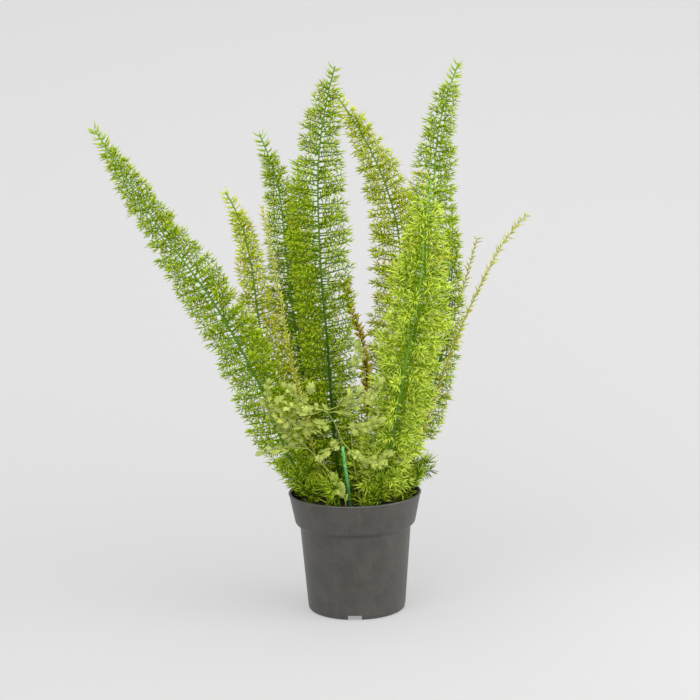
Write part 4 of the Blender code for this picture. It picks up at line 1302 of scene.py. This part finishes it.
@dataclass
class Branch:
    """One branch of a leaf spray: its route, where its leaflets start, and its own side branches.

    Attributes:
        route: points that it passes through; a side branch leaves out its first, which is on its parent.
        bare: length at its foot without leaflets.
        gap: start and end of a stretch of it without leaflets.
        joins_at: where it leaves its parent, as a share of the parent's length.
        size: its leaflets' size as a share of the usual.
        sides: its own side branches.
    """

    route: list
    bare: float = 0.0
    gap: tuple[float, float] = (0.0, 0.0)
    joins_at: float = 0.0
    size: float = 1.0
    sides: list = field(default_factory=list)


@dataclass
class LeafSpray:
    """A thin branched stem with lobed leaflets on both sides.

    Attributes:
        node: the node that it stands for.
        branch: its main branch.
        path: the main branch's path.
        start: distance along the path at which it starts.
        seed: number that starts its random draws.
    """

    node: str
    branch: Branch
    path: Path
    start: float
    seed: int

    SLOT = "leaf_pale"
    STEM_RADIUS = 0.50 * MM
    LEAF_STEP = 2.7 * MM
    LEAF_LENGTH = 8.6 * MM
    LEAF_BREADTH = 0.80
    FACE = np.array((0.1, -0.60, 0.80))
    FACE_SCATTER = 0.5
    SPLAY = (22.0, 56.0)
    SIZES = (0.62, 1.15)
    # The growth attribute's third value on the stems, out of the blades' reach.
    STEM_MARK = 2.0

    def build(self, leaflet: Shape, twig: Shape, material: bpy.types.Material) -> bpy.types.Object:
        """Build the spray's mesh and dress it.

        Args:
            leaflet: shape of a leaflet.
            twig: shape of the stems.
            material: the spray's finish.

        Returns:
            The finished piece.
        """
        rng = np.random.default_rng(self.seed)
        thicket = Thicket(f"{self.node}_foliage")
        self._grow(thicket, rng, leaflet, twig, self.branch, self.path, self.start)
        return dress(thicket.build(material), self.node)

    def _grow(self, thicket: Thicket, rng: np.random.Generator, leaflet: Shape, twig: Shape, branch: Branch,
              path: Path, start: float) -> None:
        """Grow a branch, its leaflets and its side branches.

        Args:
            thicket: what gathers the copies.
            rng: the spray's own random draws.
            leaflet: shape of a leaflet.
            twig: shape of the stems.
            branch: the branch.
            path: the branch's path.
            start: distance along the path at which its stem starts.
        """
        radii = (self.STEM_RADIUS, 0.5 * self.STEM_RADIUS)
        thicket.lay(twig, path, start, path.length, radii, self.STEM_MARK)
        rows = np.arange(max(branch.bare, 2 * MM), path.length + 0.5 * MM, self.LEAF_STEP * branch.size)
        rows = rows[(rows < branch.gap[0]) | (rows >= branch.gap[1])]
        points, tangents, _ = path.at(rows)
        faces = np.tile(self.FACE, (len(rows), 1)) + rng.normal(0.0, self.FACE_SCATTER, (len(rows), 3))
        across = unit(np.cross(tangents, faces))
        signs = np.where(np.arange(len(rows)) % 2 == 0, 1.0, -1.0)[:, None]
        splay = np.radians(rng.uniform(*self.SPLAY, len(rows)))[:, None]
        splay[-1] = 0.05
        heads = unit(tangents * np.cos(splay) + across * signs * np.sin(splay))
        sizes = self.LEAF_LENGTH * branch.size * rng.uniform(*self.SIZES, len(rows))
        self._set_leaflets(thicket, rng, leaflet, points, heads, faces, sizes)
        for side in branch.sides:
            foot = path.at([side.joins_at * path.length])[0][0]
            self._grow(thicket, rng, leaflet, twig, side, Path([foot, *side.route]), 0.0)

    def _set_leaflets(self, thicket: Thicket, rng: np.random.Generator, leaflet: Shape, feet: np.ndarray,
                      heads: np.ndarray, faces: np.ndarray, sizes: np.ndarray) -> None:
        """Set leaflets on a branch, with the growth attribute across and along each.

        Args:
            thicket: what gathers the copies.
            rng: the spray's own random draws.
            leaflet: shape of a leaflet.
            feet: where each one leaves the branch.
            heads: unit vector along each.
            faces: vector that each one's upper side leans to.
            sizes: each one's length.
        """
        over = unit(faces - heads * (faces * heads).sum(1, keepdims=True))
        aside = np.cross(over, heads)
        x, y, z = (leaflet.corners[:, axis][None, :, None] for axis in range(3))
        size = sizes[:, None, None]
        corners = feet[:, None] + (aside[:, None] * x * self.LEAF_BREADTH - over[:, None] * y
                                   + heads[:, None] * (z + 0.1)) * size
        tones = rng.uniform(0.0, 1.0, len(feet))
        thicket.place(corners, leaflet.triangles, z[..., 0], tones, 0.5 + x[..., 0])


@dataclass
class Stalk:
    """The bare upright stalk that carries the middle leaf spray.

    Attributes:
        path: the stalk's path.
        radius: its radius at the soil.
    """

    path: Path
    radius: float = 1.7 * MM

    NODE = "green_stalk"
    SLOT = "stalk_green"

    def build(self, twig: Shape, material: bpy.types.Material) -> bpy.types.Object:
        """Build the stalk's mesh and dress it.

        Args:
            twig: shape of a round stem.
            material: the stalk's finish.

        Returns:
            The finished piece.
        """
        thicket = Thicket(f"{self.NODE}_smooth")
        thicket.lay(twig, self.path, -ROOT_DEPTH, self.path.length, (self.radius, 0.8 * self.radius))
        return dress(thicket.build(material), self.NODE)


@dataclass
class Pot:
    """The nursery pot: stepped collar, rolled lip, foot ring with notches, raised floor with drain holes.

    Attributes:
        height: its height.
        rim_radius: its radius at the lip.
        collar_foot: radius and height of the collar's foot.
        body_top: radius and height where the body ends below the collar.
        body_foot_radius: the body's radius at the ground.
        foot_rounding: radius of the rounding there.
        wall: thickness of the wall.
        lip_drop: height of the lip's bead.
        lip_width: width of the lip's bead.
        rim_wall: thickness of the wall at the rim.
        channel: inner and outer radius of the raised part of the floor.
        channel_height: how far it is raised.
        channel_slope: how far its sides lean.
        notch_width: width of a notch in the foot ring.
        notch_height: height of a notch.
        notch_turn: turn of the first notch.
        drain_radius: radius of a drain hole.
        drain_circle: radius of the circle that the drain holes stand on.
        sides: how many flat sides the pot is turned from.
    """

    height: float = 0.1087
    rim_radius: float = 0.0600
    collar_foot: tuple[float, float] = (0.0543, 0.0815)
    body_top: tuple[float, float] = (0.0502, 0.0775)
    body_foot_radius: float = 0.0442
    foot_rounding: float = 0.0036
    wall: float = 0.0016
    lip_drop: float = 0.0022
    lip_width: float = 0.0016
    rim_wall: float = 0.0023
    channel: tuple[float, float] = (0.0220, 0.0380)
    channel_height: float = 0.0040
    channel_slope: float = 0.0020
    notch_width: float = 0.0127
    notch_height: float = 0.0046
    notch_turn: float = math.radians(-93.0)
    drain_radius: float = 0.0030
    drain_circle: float = 0.0300
    sides: int = 112

    NODE = "pot"
    SLOT = "pot_plastic"

    def profile(self) -> list[tuple[float, float]]:
        """Draw half of the pot's section.

        Returns:
            Radius and height of each ring from the foot's centre, out and up, over the lip and back inside.
        """
        # The offsets of a few tenths of a millimetre round the edges of the step, the collar and the lip.
        inner, outer = self.channel
        made = [(inner, 0.0), (inner + self.channel_slope, self.channel_height),
                (outer - self.channel_slope, self.channel_height), (outer, 0.0)]
        for step in range(6):
            turn = step * math.pi / 10
            made.append((self.body_foot_radius - self.foot_rounding * (1 - math.sin(turn)),
                         self.foot_rounding * (1 - math.cos(turn))))
        top_radius, top_height = self.body_top
        collar_radius, collar_height = self.collar_foot
        made += [(top_radius - 0.0002, top_height - 0.0014), (top_radius + 0.0002, top_height - 0.0002),
                 (top_radius + 0.0010, top_height + 0.0009), (collar_radius - 0.0008, collar_height - 0.0010),
                 (collar_radius - 0.0001, collar_height - 0.0001),
                 (collar_radius + 0.0003, collar_height + 0.0013)]
        bead = 0.5 * self.lip_drop
        for step in range(7):
            turn = math.radians(-70.0 + 160.0 * step / 6)
            made.append((self.rim_radius - 0.0010 + 0.0010 * math.cos(turn),
                         self.height - bead + bead * math.sin(turn)))
        made += [(self.rim_radius - self.lip_width - 0.0003, self.height - 0.0001),
                 (self.rim_radius - self.rim_wall, self.height - 0.0008),
                 (self.rim_radius - self.rim_wall - 0.0001, self.height - self.lip_drop),
                 (collar_radius - self.wall, collar_height + 0.0006),
                 (top_radius - self.wall, top_height + 0.0006),
                 (self.body_foot_radius - self.wall, 2 * self.channel_height),
                 (outer, self.channel_height + self.wall), (inner + 0.0006, self.channel_height + self.wall),
                 (inner - self.channel_slope, self.wall)]
        return made

    def build(self, material: bpy.types.Material) -> bpy.types.Object:
        """Build the pot: a disc drawn out ring by ring along its profile, then cut for notches and drains.

        Args:
            material: the pot's finish.

        Returns:
            The finished piece.
        """
        profile = self.profile()
        radius, height = profile[0]
        Bench.begin("pot_moulded", bpy.ops.mesh.primitive_circle_add, vertices=self.sides, radius=radius,
                    fill_type="NGON", location=(0, 0, height))
        Bench.pick_rim()
        for ring, next_ring in zip(profile, profile[1:]):
            Bench.draw_ring(ring, next_ring)
        Bench.close()
        made = Bench.finish("pot_moulded")
        self._cut(made)
        bpy.ops.object.shade_smooth_by_angle(angle=math.radians(32.0))
        made.data.materials.append(material)
        return dress(made, self.NODE)

    def _cut(self, made: bpy.types.Object) -> None:
        """Cut the notches in the foot ring and the drain holes in the raised floor.

        Args:
            made: the pot, which is left active and selected.
        """
        inner = 0.5 * sum(self.channel)
        outer = self.body_foot_radius + 0.004
        cutters = []
        for index in range(4):
            turn = self.notch_turn + index * math.tau / 4
            middle = 0.5 * (inner + outer)
            Bench.start()
            bpy.ops.mesh.primitive_cube_add(
                size=1.0, location=(middle * math.cos(turn), middle * math.sin(turn), 0.0),
                rotation=(0, 0, turn), scale=(outer - inner, self.notch_width, 2 * self.notch_height))
            cutters.append(bpy.context.object)
            turn += math.tau / 8
            Bench.start()
            bpy.ops.mesh.primitive_cylinder_add(
                vertices=24, radius=self.drain_radius, depth=4 * self.wall,
                location=(self.drain_circle * math.cos(turn), self.drain_circle * math.sin(turn),
                          self.channel_height + self.wall / 2))
            cutters.append(bpy.context.object)
        for cutter in cutters:
            Bench.start()
            made.select_set(True)
            Bench.apply(made, "BOOLEAN", operation="DIFFERENCE", solver="EXACT", object=cutter)
            bpy.data.objects.remove(cutter, do_unlink=True)
        Bench.start()
        made.select_set(True)
        bpy.context.view_layer.objects.active = made


@dataclass
class Soil:
    """The potting mix: a rough crowned top strewn with crumbs.

    Attributes:
        radius: its radius at the top.
        foot_radius: its radius where it ends, out of sight.
        foot: height at which it ends.
        edge: height of the top at the pot's wall.
        crown: height of the top elsewhere.
        crumbs: how many crumbs lie on it.
        seed: number that starts its random draws.
    """

    radius: float = 0.0558
    foot_radius: float = 0.0530
    foot: float = 0.0840
    edge: float = 0.0975
    crown: float = 0.0990
    crumbs: int = 420
    seed: int = 5

    NODE = "soil"
    SLOT = "soil_mix"
    SIDES = 72
    RINGS = 12
    ROUGH = 1.1 * MM
    CRUMB_KINDS = 4
    CRUMB_SIZES = (1.0, 3.2)

    def build(self, material: bpy.types.Material) -> bpy.types.Object:
        """Build the soil and dress it.

        Args:
            material: the soil's finish.

        Returns:
            The finished piece.
        """
        thicket = Thicket("soil_crumbs")
        top = self._top()
        thicket.place(top.corners[None], top.triangles, 0.0, 0.0, 0.0)
        self._strew(thicket)
        return dress(thicket.build(material), self.NODE)

    def _top(self) -> Shape:
        """Model the rough top and the side below it.

        Returns:
            The shape, in its place.
        """
        Bench.begin("soil_top", bpy.ops.mesh.primitive_circle_add, vertices=self.SIDES, radius=self.radius,
                    fill_type="NGON", location=(0, 0, self.edge))
        for _ in range(self.RINGS):
            bpy.ops.mesh.inset(thickness=self.radius / (self.RINGS + 1), use_boundary=True)
        Bench.pick(lambda place: place.xy.length < self.radius - 0.001)
        bpy.ops.transform.vertex_random(offset=self.ROUGH, uniform=0.3, seed=self.seed)
        bpy.ops.transform.translate(value=(0, 0, self.crown - self.edge))
        Bench.pick_rim()
        Bench.draw_ring((self.radius, self.edge), (self.foot_radius, self.foot))
        Bench.close()
        return Shape(Bench.finish("soil_top"))

    def _strew(self, thicket: Thicket) -> None:
        """Strew crumbs over the top, half sunk in.

        Args:
            thicket: what gathers the copies.
        """
        rng = np.random.default_rng(self.seed)
        shapes = [Shape.crumb(seed) for seed in range(self.CRUMB_KINDS)]
        for shape in shapes:
            count = self.crumbs // len(shapes)
            far = (self.radius - 0.002) * np.sqrt(rng.random(count))
            turn = rng.uniform(0.0, math.tau, count)
            feet = np.stack([far * np.cos(turn), far * np.sin(turn), np.full(count, self.crown - 0.0006)], 1)
            heads = unit(rng.normal(0.0, 1.0, (count, 3)))
            sides = unit(rng.normal(0.0, 1.0, (count, 3)))
            sizes = rng.uniform(*self.CRUMB_SIZES, count) * MM
            widths = sizes * rng.uniform(0.6, 1.0, count)
            sunk = feet - heads * sizes[:, None] / 2
            thicket.stamp(shape, sunk, heads, sides, widths, sizes, rng.random(count), Part.STEM)


def dress(piece: bpy.types.Object, node: str) -> bpy.types.Object:
    """Declare a finished piece: what it rides on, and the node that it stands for.

    Args:
        piece: the finished piece.
        node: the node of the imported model.

    Returns:
        The same piece.
    """
    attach(piece, BODY)
    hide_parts(node)
    log.info("%s stands for %s, %d faces", piece.name, node, len(piece.data.polygons))
    return piece


# Studio


@dataclass
class Studio:
    """Camera, pale sweep and soft lights.

    Attributes:
        eye: where the camera stands.
        pitch: how far it looks down.
        roll: how far it is tipped to a side.
        focal_pixels: its focal length in pixels of the photograph.
        frame_pixels: width of the photograph in pixels.
        sensor: width of its sensor in millimetres.
    """

    eye: tuple[float, float, float] = (-0.00187, -1.90203, 0.57217)
    pitch: float = math.radians(9.967)
    roll: float = math.radians(1.1175)
    focal_pixels: float = 2160.09
    frame_pixels: float = 700.0
    sensor: float = 36.0

    # The sweep: middle and size of its floor, radius and steps of its bend, height of its wall.
    FLOOR_MIDDLE = (0, -2.8, 0)
    FLOOR_SIZE = (12.0, 6.0, 1.0)
    BEND_RADIUS = 0.6
    BEND_STEPS = 12
    WALL = 3.0
    WORLD_LIGHT = 1.06
    # Softboxes: name, place, what each is turned to, size and power.
    SOFTBOXES = (("key", (1.25, -0.95, 1.25), (0.0, 0.0, 0.22), 2.0, 17.5),
                 ("front", (-0.9, -1.8, 1.8), (0.0, 0.1, 0.2), 2.0, 34.0),
                 ("side", (0.62, -0.15, 0.24), (0.0, 0.0, 0.10), 0.35, 1.2),
                 ("top", (0.0, 0.5, 2.0), (0.0, 0.3, 0.0), 2.0, 16.0))

    def build(self) -> None:
        """Build the camera, the sweep, the world and the lights."""
        self._camera()
        self._sweep()
        self._world()
        for softbox in self.SOFTBOXES:
            self._softbox(*softbox)
        bpy.context.scene.view_settings.view_transform = "Standard"

    def _camera(self) -> None:
        """Set the camera as it stood for the photograph."""
        data = bpy.data.cameras.new("camera")
        data.sensor_width = self.sensor
        data.lens = self.focal_pixels / self.frame_pixels * self.sensor
        data.dof.use_dof = False
        camera = bpy.data.objects.new("camera", data)
        ahead = Vector((0.0, math.cos(self.pitch), -math.sin(self.pitch)))
        right = Vector((1.0, 0.0, 0.0))
        up = right.cross(ahead)
        right, up = (right * math.cos(self.roll) - up * math.sin(self.roll),
                     right * math.sin(self.roll) + up * math.cos(self.roll))
        turned = Matrix((right, up, -ahead)).transposed().to_4x4()
        camera.matrix_world = Matrix.Translation(self.eye) @ turned
        bpy.context.scene.collection.objects.link(camera)
        bpy.context.scene.camera = camera

    def _sweep(self) -> None:
        """Build the floor that curves up into a wall, lit through from behind, seen from inside only."""
        made = Bench.begin("sweep", bpy.ops.mesh.primitive_plane_add, size=1.0, location=self.FLOOR_MIDDLE)
        bpy.ops.transform.resize(value=self.FLOOR_SIZE, center_override=self.FLOOR_MIDDLE)
        Bench.pick(lambda place: place.y > 0.0)
        length = math.pi / 2 * self.BEND_RADIUS / self.BEND_STEPS
        for step in range(self.BEND_STEPS):
            turn = math.pi / 2 * (step + 0.5) / self.BEND_STEPS
            bpy.ops.mesh.extrude_edges_move(TRANSFORM_OT_translate={
                "value": (0, length * math.cos(turn), length * math.sin(turn))})
        bpy.ops.mesh.extrude_edges_move(TRANSFORM_OT_translate={"value": (0, 0, self.WALL)})
        Bench.finish("sweep")
        bpy.ops.object.shade_smooth()
        graph = Graph("backlit_acrylic_sweep")
        made.data.materials.append(graph.finish({
            "Base Color": "#898989", "Emission Color": "#FFFFFF", "Emission Strength": 0.35, "Roughness": 0.9,
            "Specular IOR Level": 0.1}))
        mixed = graph.add(NodeKind.BLEND, graph.add(NodeKind.BACK_SIDE), graph.shader.outputs[0],
                          graph.add(NodeKind.CLEAR))
        graph.feed(graph.tree.nodes["Material Output"], "Surface", mixed)

    def _world(self) -> None:
        """Fill the room with even white light."""
        world = bpy.data.worlds.new("studio")
        world.use_nodes = True
        world.node_tree.nodes["Background"].inputs["Color"].default_value = (1.0, 1.0, 1.0, 1.0)
        world.node_tree.nodes["Background"].inputs["Strength"].default_value = self.WORLD_LIGHT
        bpy.context.scene.world = world

    def _softbox(self, name: str, place: tuple, aim: tuple, size: float, power: float) -> None:
        """Hang a square softbox.

        Args:
            name: its name.
            place: where it hangs.
            aim: the point that it is turned to.
            size: its width.
            power: its power in watts.
        """
        data = bpy.data.lights.new(name, "AREA")
        data.size = size
        data.energy = power
        light = bpy.data.objects.new(name, data)
        light.location = place
        light.rotation_euler = (Vector(aim) - Vector(place)).to_track_quat("-Z", "Y").to_euler()
        bpy.context.scene.collection.objects.link(light)


# The fern's own pieces

# Slot, name, and the colours of stem, young stem, arm, shade, light, tip and dry end.
# The bright, front, mid and deep finishes are lit and shaded copies of one waxy needle: painted light on the
# outer plumes, more on the front one; painted shade on those further back, most on the middle one. The yellow
# finish is a real yellower tone.
FINISHES = {slot: NeedleFinish(name, *colours.split()) for slot, name, colours in (
    ("plume_bright", "waxy_needles_painted_light", "#487412 #749A20 #729808 #7C9A06 #B4CE1E #C8D844 #C8B038"),
    ("plume_front", "waxy_needles_painted_front_light", "#5E9032 #78A848 #7E9E10 #86A60C #CCE040 #E0EE88 #D0C04C"),
    ("plume_mid", "waxy_needles_painted_half_shade", "#40680C #68901C #6C900A #7E9A06 #B4CC20 #C8D848 #C0A838"),
    ("plume_deep", "waxy_needles_painted_deep_shade", "#2A4E08 #64881C #5C8006 #6E8C06 #A8C01C #C0D040 #B49C30"),
    ("plume_yellow", "waxy_needles_yellow", "#3E6208 #709016 #8A9E0C #9EB208 #D6E020 #E6E850 #CCA830"),
    ("shoot_olive", "papery_bracts_olive", "#7C842C #A4A84E #A8A848 #A4A436 #C8C860 #D8D884 #A88024"),
    ("shoot_brown", "papery_bracts_brown", "#3E3C10 #4E4A14 #6E6812 #94900C #CCB42C #D8C448 #B8842C"),
    ("sprig_green", "waxy_needles_sprig", "#4E6E0C #5E8016 #3A5604 #446606 #9CB81E #C8DC48 #A8A81C"),
)}

PLUMES = [
    Plume("plume_far_left", "plume_bright", [
        (-0.038, -0.016, 0.098), (-0.061, -0.022, 0.153), (-0.081, -0.026, 0.209),
        (-0.119, -0.030, 0.285), (-0.163, -0.033, 0.351), (-0.220, -0.034, 0.444)],
        reach=0.028, bare=0.022, flatness=0.5, seed=11, taper=1.5, tone=0.3, step=3.9 * MM, foot=0.5),
    Plume("plume_short_left", "plume_yellow", [
        (-0.031, 0.004, 0.098), (-0.063, 0.012, 0.191), (-0.082, 0.020, 0.254),
        (-0.089, 0.026, 0.310), (-0.096, 0.029, 0.346), (-0.113, 0.030, 0.382)],
        reach=0.022, bare=0.040, flatness=0.4, seed=12, brush=Brush(dry=0.08)),
    Plume("plume_left", "plume_mid", [
        (-0.024, 0.022, 0.098), (-0.038, 0.038, 0.165), (-0.050, 0.050, 0.237),
        (-0.059, 0.058, 0.323), (-0.065, 0.061, 0.382), (-0.082, 0.062, 0.431)],
        reach=0.025, bare=0.040, flatness=0.4, seed=13, tone=0.55),
    Plume("plume_back_left", "plume_mid", [
        (-0.008, 0.035, 0.098), (-0.024, 0.060, 0.175), (-0.040, 0.075, 0.254),
        (-0.044, 0.087, 0.320), (-0.047, 0.095, 0.402)],
        reach=0.026, bare=0.024, flatness=0.4, seed=14),
    # Its finish is the deep copy of the needles, darker all over: painted shade in the middle of the bush.
    Plume("plume_centre", "plume_deep", [
        (-0.012, -0.004, 0.098), (-0.018, -0.005, 0.165), (-0.021, -0.006, 0.231),
        (-0.027, -0.006, 0.333), (-0.025, -0.004, 0.420), (-0.009, -0.004, 0.494)],
        reach=0.031, bare=0.030, flatness=0.6, seed=15, tone=0.6),
    Plume("plume_arching", "plume_yellow", [
        (0.012, 0.024, 0.098), (0.030, 0.033, 0.180), (0.043, 0.036, 0.260),
        (0.043, 0.039, 0.343), (0.019, 0.040, 0.415), (-0.012, 0.040, 0.465)],
        reach=0.030, bare=0.040, flatness=0.5, seed=16, taper=1.2, brush=Brush(dry=0.08)),
    Plume("plume_tall_right", "plume_bright", [
        (0.029, 0.004, 0.098), (0.047, 0.005, 0.190), (0.062, 0.008, 0.281),
        (0.073, 0.008, 0.351), (0.082, 0.008, 0.441), (0.100, 0.008, 0.494)],
        reach=0.026, bare=0.045, flatness=0.55, seed=17, tone=0.35),
    Plume("plume_right_back", "plume_mid", [
        (0.035, 0.024, 0.098), (0.058, 0.033, 0.150), (0.080, 0.045, 0.215),
        (0.092, 0.052, 0.290), (0.093, 0.055, 0.360)],
        reach=0.020, bare=0.060, flatness=0.3, seed=18, tone=0.6),
    # Its finish is the front copy of the needles, lighter all over: painted light where it faces the lamps.
    Plume("plume_front_right", "plume_bright", [
        (0.017, -0.026, 0.098), (0.034, -0.044, 0.165), (0.046, -0.056, 0.233),
        (0.060, -0.061, 0.307), (0.065, -0.062, 0.359), (0.071, -0.062, 0.399)],
        reach=0.032, bare=0.024, flatness=0.15, seed=19, taper=0.80, tone=0.60,
        ragged=(0.62, 1.16), step=4.8 * MM, open_front=0.97, finish="plume_front",
        brush=Brush(bare=0.25, step=2.8 * MM, per_node=3, needle=(7.0 * MM, 11.4 * MM), width=1.20 * MM,
                    angles=(30.0, 74.0), tuft=6, fork=(12.0, 58.0), dry=0.01, vary=0.42)),
]

SHOOTS = [
    Shoot("shoot_right", "shoot_olive", [
        (0.041, -0.012, 0.098), (0.060, -0.006, 0.155), (0.081, 0.004, 0.214),
        (0.115, 0.016, 0.289), (0.141, 0.020, 0.334), (0.159, 0.020, 0.355)],
        bare=0.060, bract=(4.4 * MM, 8.8 * MM), step=3.2 * MM, seed=21),
    Shoot("shoot_right_back", "shoot_olive", [
        (0.023, 0.040, 0.098), (0.062, 0.062, 0.170), (0.098, 0.076, 0.262), (0.117, 0.080, 0.326)],
        bare=0.100, bract=(4.4 * MM, 8.4 * MM), step=3.2 * MM, seed=22),
    Shoot("shoot_left", "shoot_olive", [
        (-0.023, -0.026, 0.098), (-0.040, -0.032, 0.170), (-0.056, -0.037, 0.252),
        (-0.067, -0.040, 0.324), (-0.076, -0.041, 0.372)],
        bare=0.060, bract=(4.2 * MM, 8.0 * MM), step=3.2 * MM, seed=23),
    Shoot("bract_shoot", "shoot_brown", [
        (0.007, 0.007, 0.098), (0.013, 0.016, 0.189), (0.008, 0.018, 0.247),
        (0.001, 0.018, 0.268), (-0.006, 0.018, 0.294)],
        bare=0.080, bract=(5.0 * MM, 9.5 * MM), step=2.4 * MM, seed=24, width=2.5 * MM,
        per_row=4, angles=(34.0, 82.0)),
]

LEFT_SPRAY = Branch(
    route=[(-0.008, -0.044, 0.098), (-0.009, -0.058, 0.116), (-0.021, -0.064, 0.140), (-0.044, -0.065, 0.167),
           (-0.066, -0.071, 0.186), (-0.075, -0.074, 0.209), (-0.073, -0.075, 0.222)],
    bare=0.018, gap=(0.046, 0.084), size=0.85,
    sides=[Branch(joins_at=0.52, bare=0.006, route=[(-0.054, -0.070, 0.165), (-0.076, -0.076, 0.163)]),
           Branch(joins_at=0.66, bare=0.006, route=[(-0.046, -0.076, 0.184), (-0.036, -0.080, 0.183)]),
           Branch(joins_at=0.76, bare=0.005, route=[(-0.054, -0.080, 0.194), (-0.044, -0.084, 0.199)]),
           Branch(joins_at=0.86, bare=0.005, route=[(-0.063, -0.080, 0.208), (-0.056, -0.082, 0.215)])])

MIDDLE_SPRAY = Branch(
    route=[(-0.014, -0.062, 0.179), (-0.024, -0.072, 0.197), (-0.041, -0.080, 0.206),
           (-0.057, -0.086, 0.222)],
    bare=0.038,
    sides=[Branch(joins_at=0.06, bare=0.004, route=[(-0.018, -0.068, 0.165), (-0.029, -0.074, 0.158)]),
           Branch(joins_at=0.10, bare=0.014, size=0.6, route=[
               (-0.002, -0.068, 0.160), (0.009, -0.072, 0.154), (0.028, -0.074, 0.148)]),
           Branch(joins_at=0.25, bare=0.008, route=[(0.005, -0.072, 0.183), (0.021, -0.078, 0.188)]),
           Branch(joins_at=0.34, bare=0.006, route=[
               (-0.033, -0.078, 0.186), (-0.049, -0.082, 0.188), (-0.063, -0.084, 0.194)]),
           Branch(joins_at=0.46, bare=0.008, route=[
               (-0.006, -0.078, 0.200), (0.010, -0.083, 0.208), (0.021, -0.085, 0.220)]),
           Branch(joins_at=0.50, bare=0.012, route=[(-0.007, -0.080, 0.206), (0.003, -0.084, 0.215)]),
           Branch(joins_at=0.52, bare=0.010, route=[
               (-0.036, -0.084, 0.198), (-0.047, -0.088, 0.202), (-0.058, -0.090, 0.208)]),
           Branch(joins_at=0.78, bare=0.003, route=[(-0.038, -0.088, 0.219)])])

RIGHT_SPRAY = Branch(
    route=[(0.006, -0.038, 0.098), (-0.001, -0.044, 0.151), (-0.002, -0.048, 0.202),
           (0.003, -0.050, 0.229), (0.007, -0.052, 0.251)],
    bare=0.132,
    sides=[Branch(joins_at=0.34, bare=0.008, route=[(0.018, -0.060, 0.150), (0.028, -0.063, 0.155)])])

STALK_ROUTE = [(-0.004, -0.026, 0.098), (-0.007, -0.046, 0.132), (-0.010, -0.056, 0.162)]

SPRIG_SEED = 60
SPRAY_SEED = 80


def sprig_routes() -> list:
    """Lay out the ground sprigs: an outer ring that leans over the rim, and inner ones.

    Returns:
        The route of each sprig's main twig.
    """
    draw = random.Random(41)
    outer, outer_radius = 9, 0.0475
    inner, inner_radius, inner_middle = 3, 0.012, Vector((0.001, 0.012, SOIL_TOP + 0.001))
    routes = []
    for index in range(outer):
        turn = math.tau * (index + 0.35) / outer
        across = Vector((math.cos(turn), math.sin(turn), 0.0))
        foot = across * outer_radius + Vector((0.0, 0.0, SOIL_TOP))
        lean = across * draw.uniform(0.010, 0.020)
        rise = Vector((0.0, 0.0, draw.uniform(0.026, 0.040)))
        routes.append([foot, foot + 0.3 * lean + 0.55 * rise, foot + lean + rise])
    for index in range(inner):
        turn = math.tau * (index + 0.12) / inner
        across = Vector((math.cos(turn), math.sin(turn), 0.0))
        foot = inner_middle + across * inner_radius
        rise = Vector((0.0, 0.0, draw.uniform(0.034, 0.044)))
        tip = foot + across * 0.004 + rise
        routes.append([foot, foot.lerp(tip, 0.5), tip])
    return routes


def main() -> None:
    """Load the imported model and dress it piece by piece."""
    logging.basicConfig(level=logging.INFO, format="%(message)s")
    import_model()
    Studio().build()

    Pot().build(PotFinish().build())
    Soil().build(SoilFinish().build())

    finishes = {slot: finish.build() for slot, finish in FINISHES.items()}
    foliage = Foliage()
    for plume in PLUMES:
        plume.build(foliage, finishes[plume.finish or plume.slot])
    for shoot in SHOOTS:
        shoot.build(foliage, finishes[shoot.slot])
    for index, route in enumerate(sprig_routes()):
        Sprig(f"sprig_{index + 1:02d}", route, SPRIG_SEED + index).build(foliage, finishes["sprig_green"])

    stalk_path = Path.standing(STALK_ROUTE)
    Stalk(stalk_path).build(foliage.twig, StalkFinish().build())
    seat, ahead, _ = stalk_path.at([stalk_path.length])
    leaflet = Shape.leaflet()
    leaf = LeafFinish().build()
    middle_route = [seat[0] + ahead[0] * SEAT_GAP, *MIDDLE_SPRAY.route]
    sprays = [
        ("leaf_spray_left", LEFT_SPRAY, Path.standing(LEFT_SPRAY.route), -ROOT_DEPTH),
        ("leaf_spray_middle", MIDDLE_SPRAY, Path(middle_route, ahead[0]), 0.0),
        ("leaf_spray_right", RIGHT_SPRAY, Path.standing(RIGHT_SPRAY.route), -ROOT_DEPTH),
    ]
    for index, (node, branch, path, start) in enumerate(sprays):
        LeafSpray(node, branch, path, start, SPRAY_SEED + index).build(leaflet, foliage.twig, leaf)


if __name__ == "__main__":
    main()
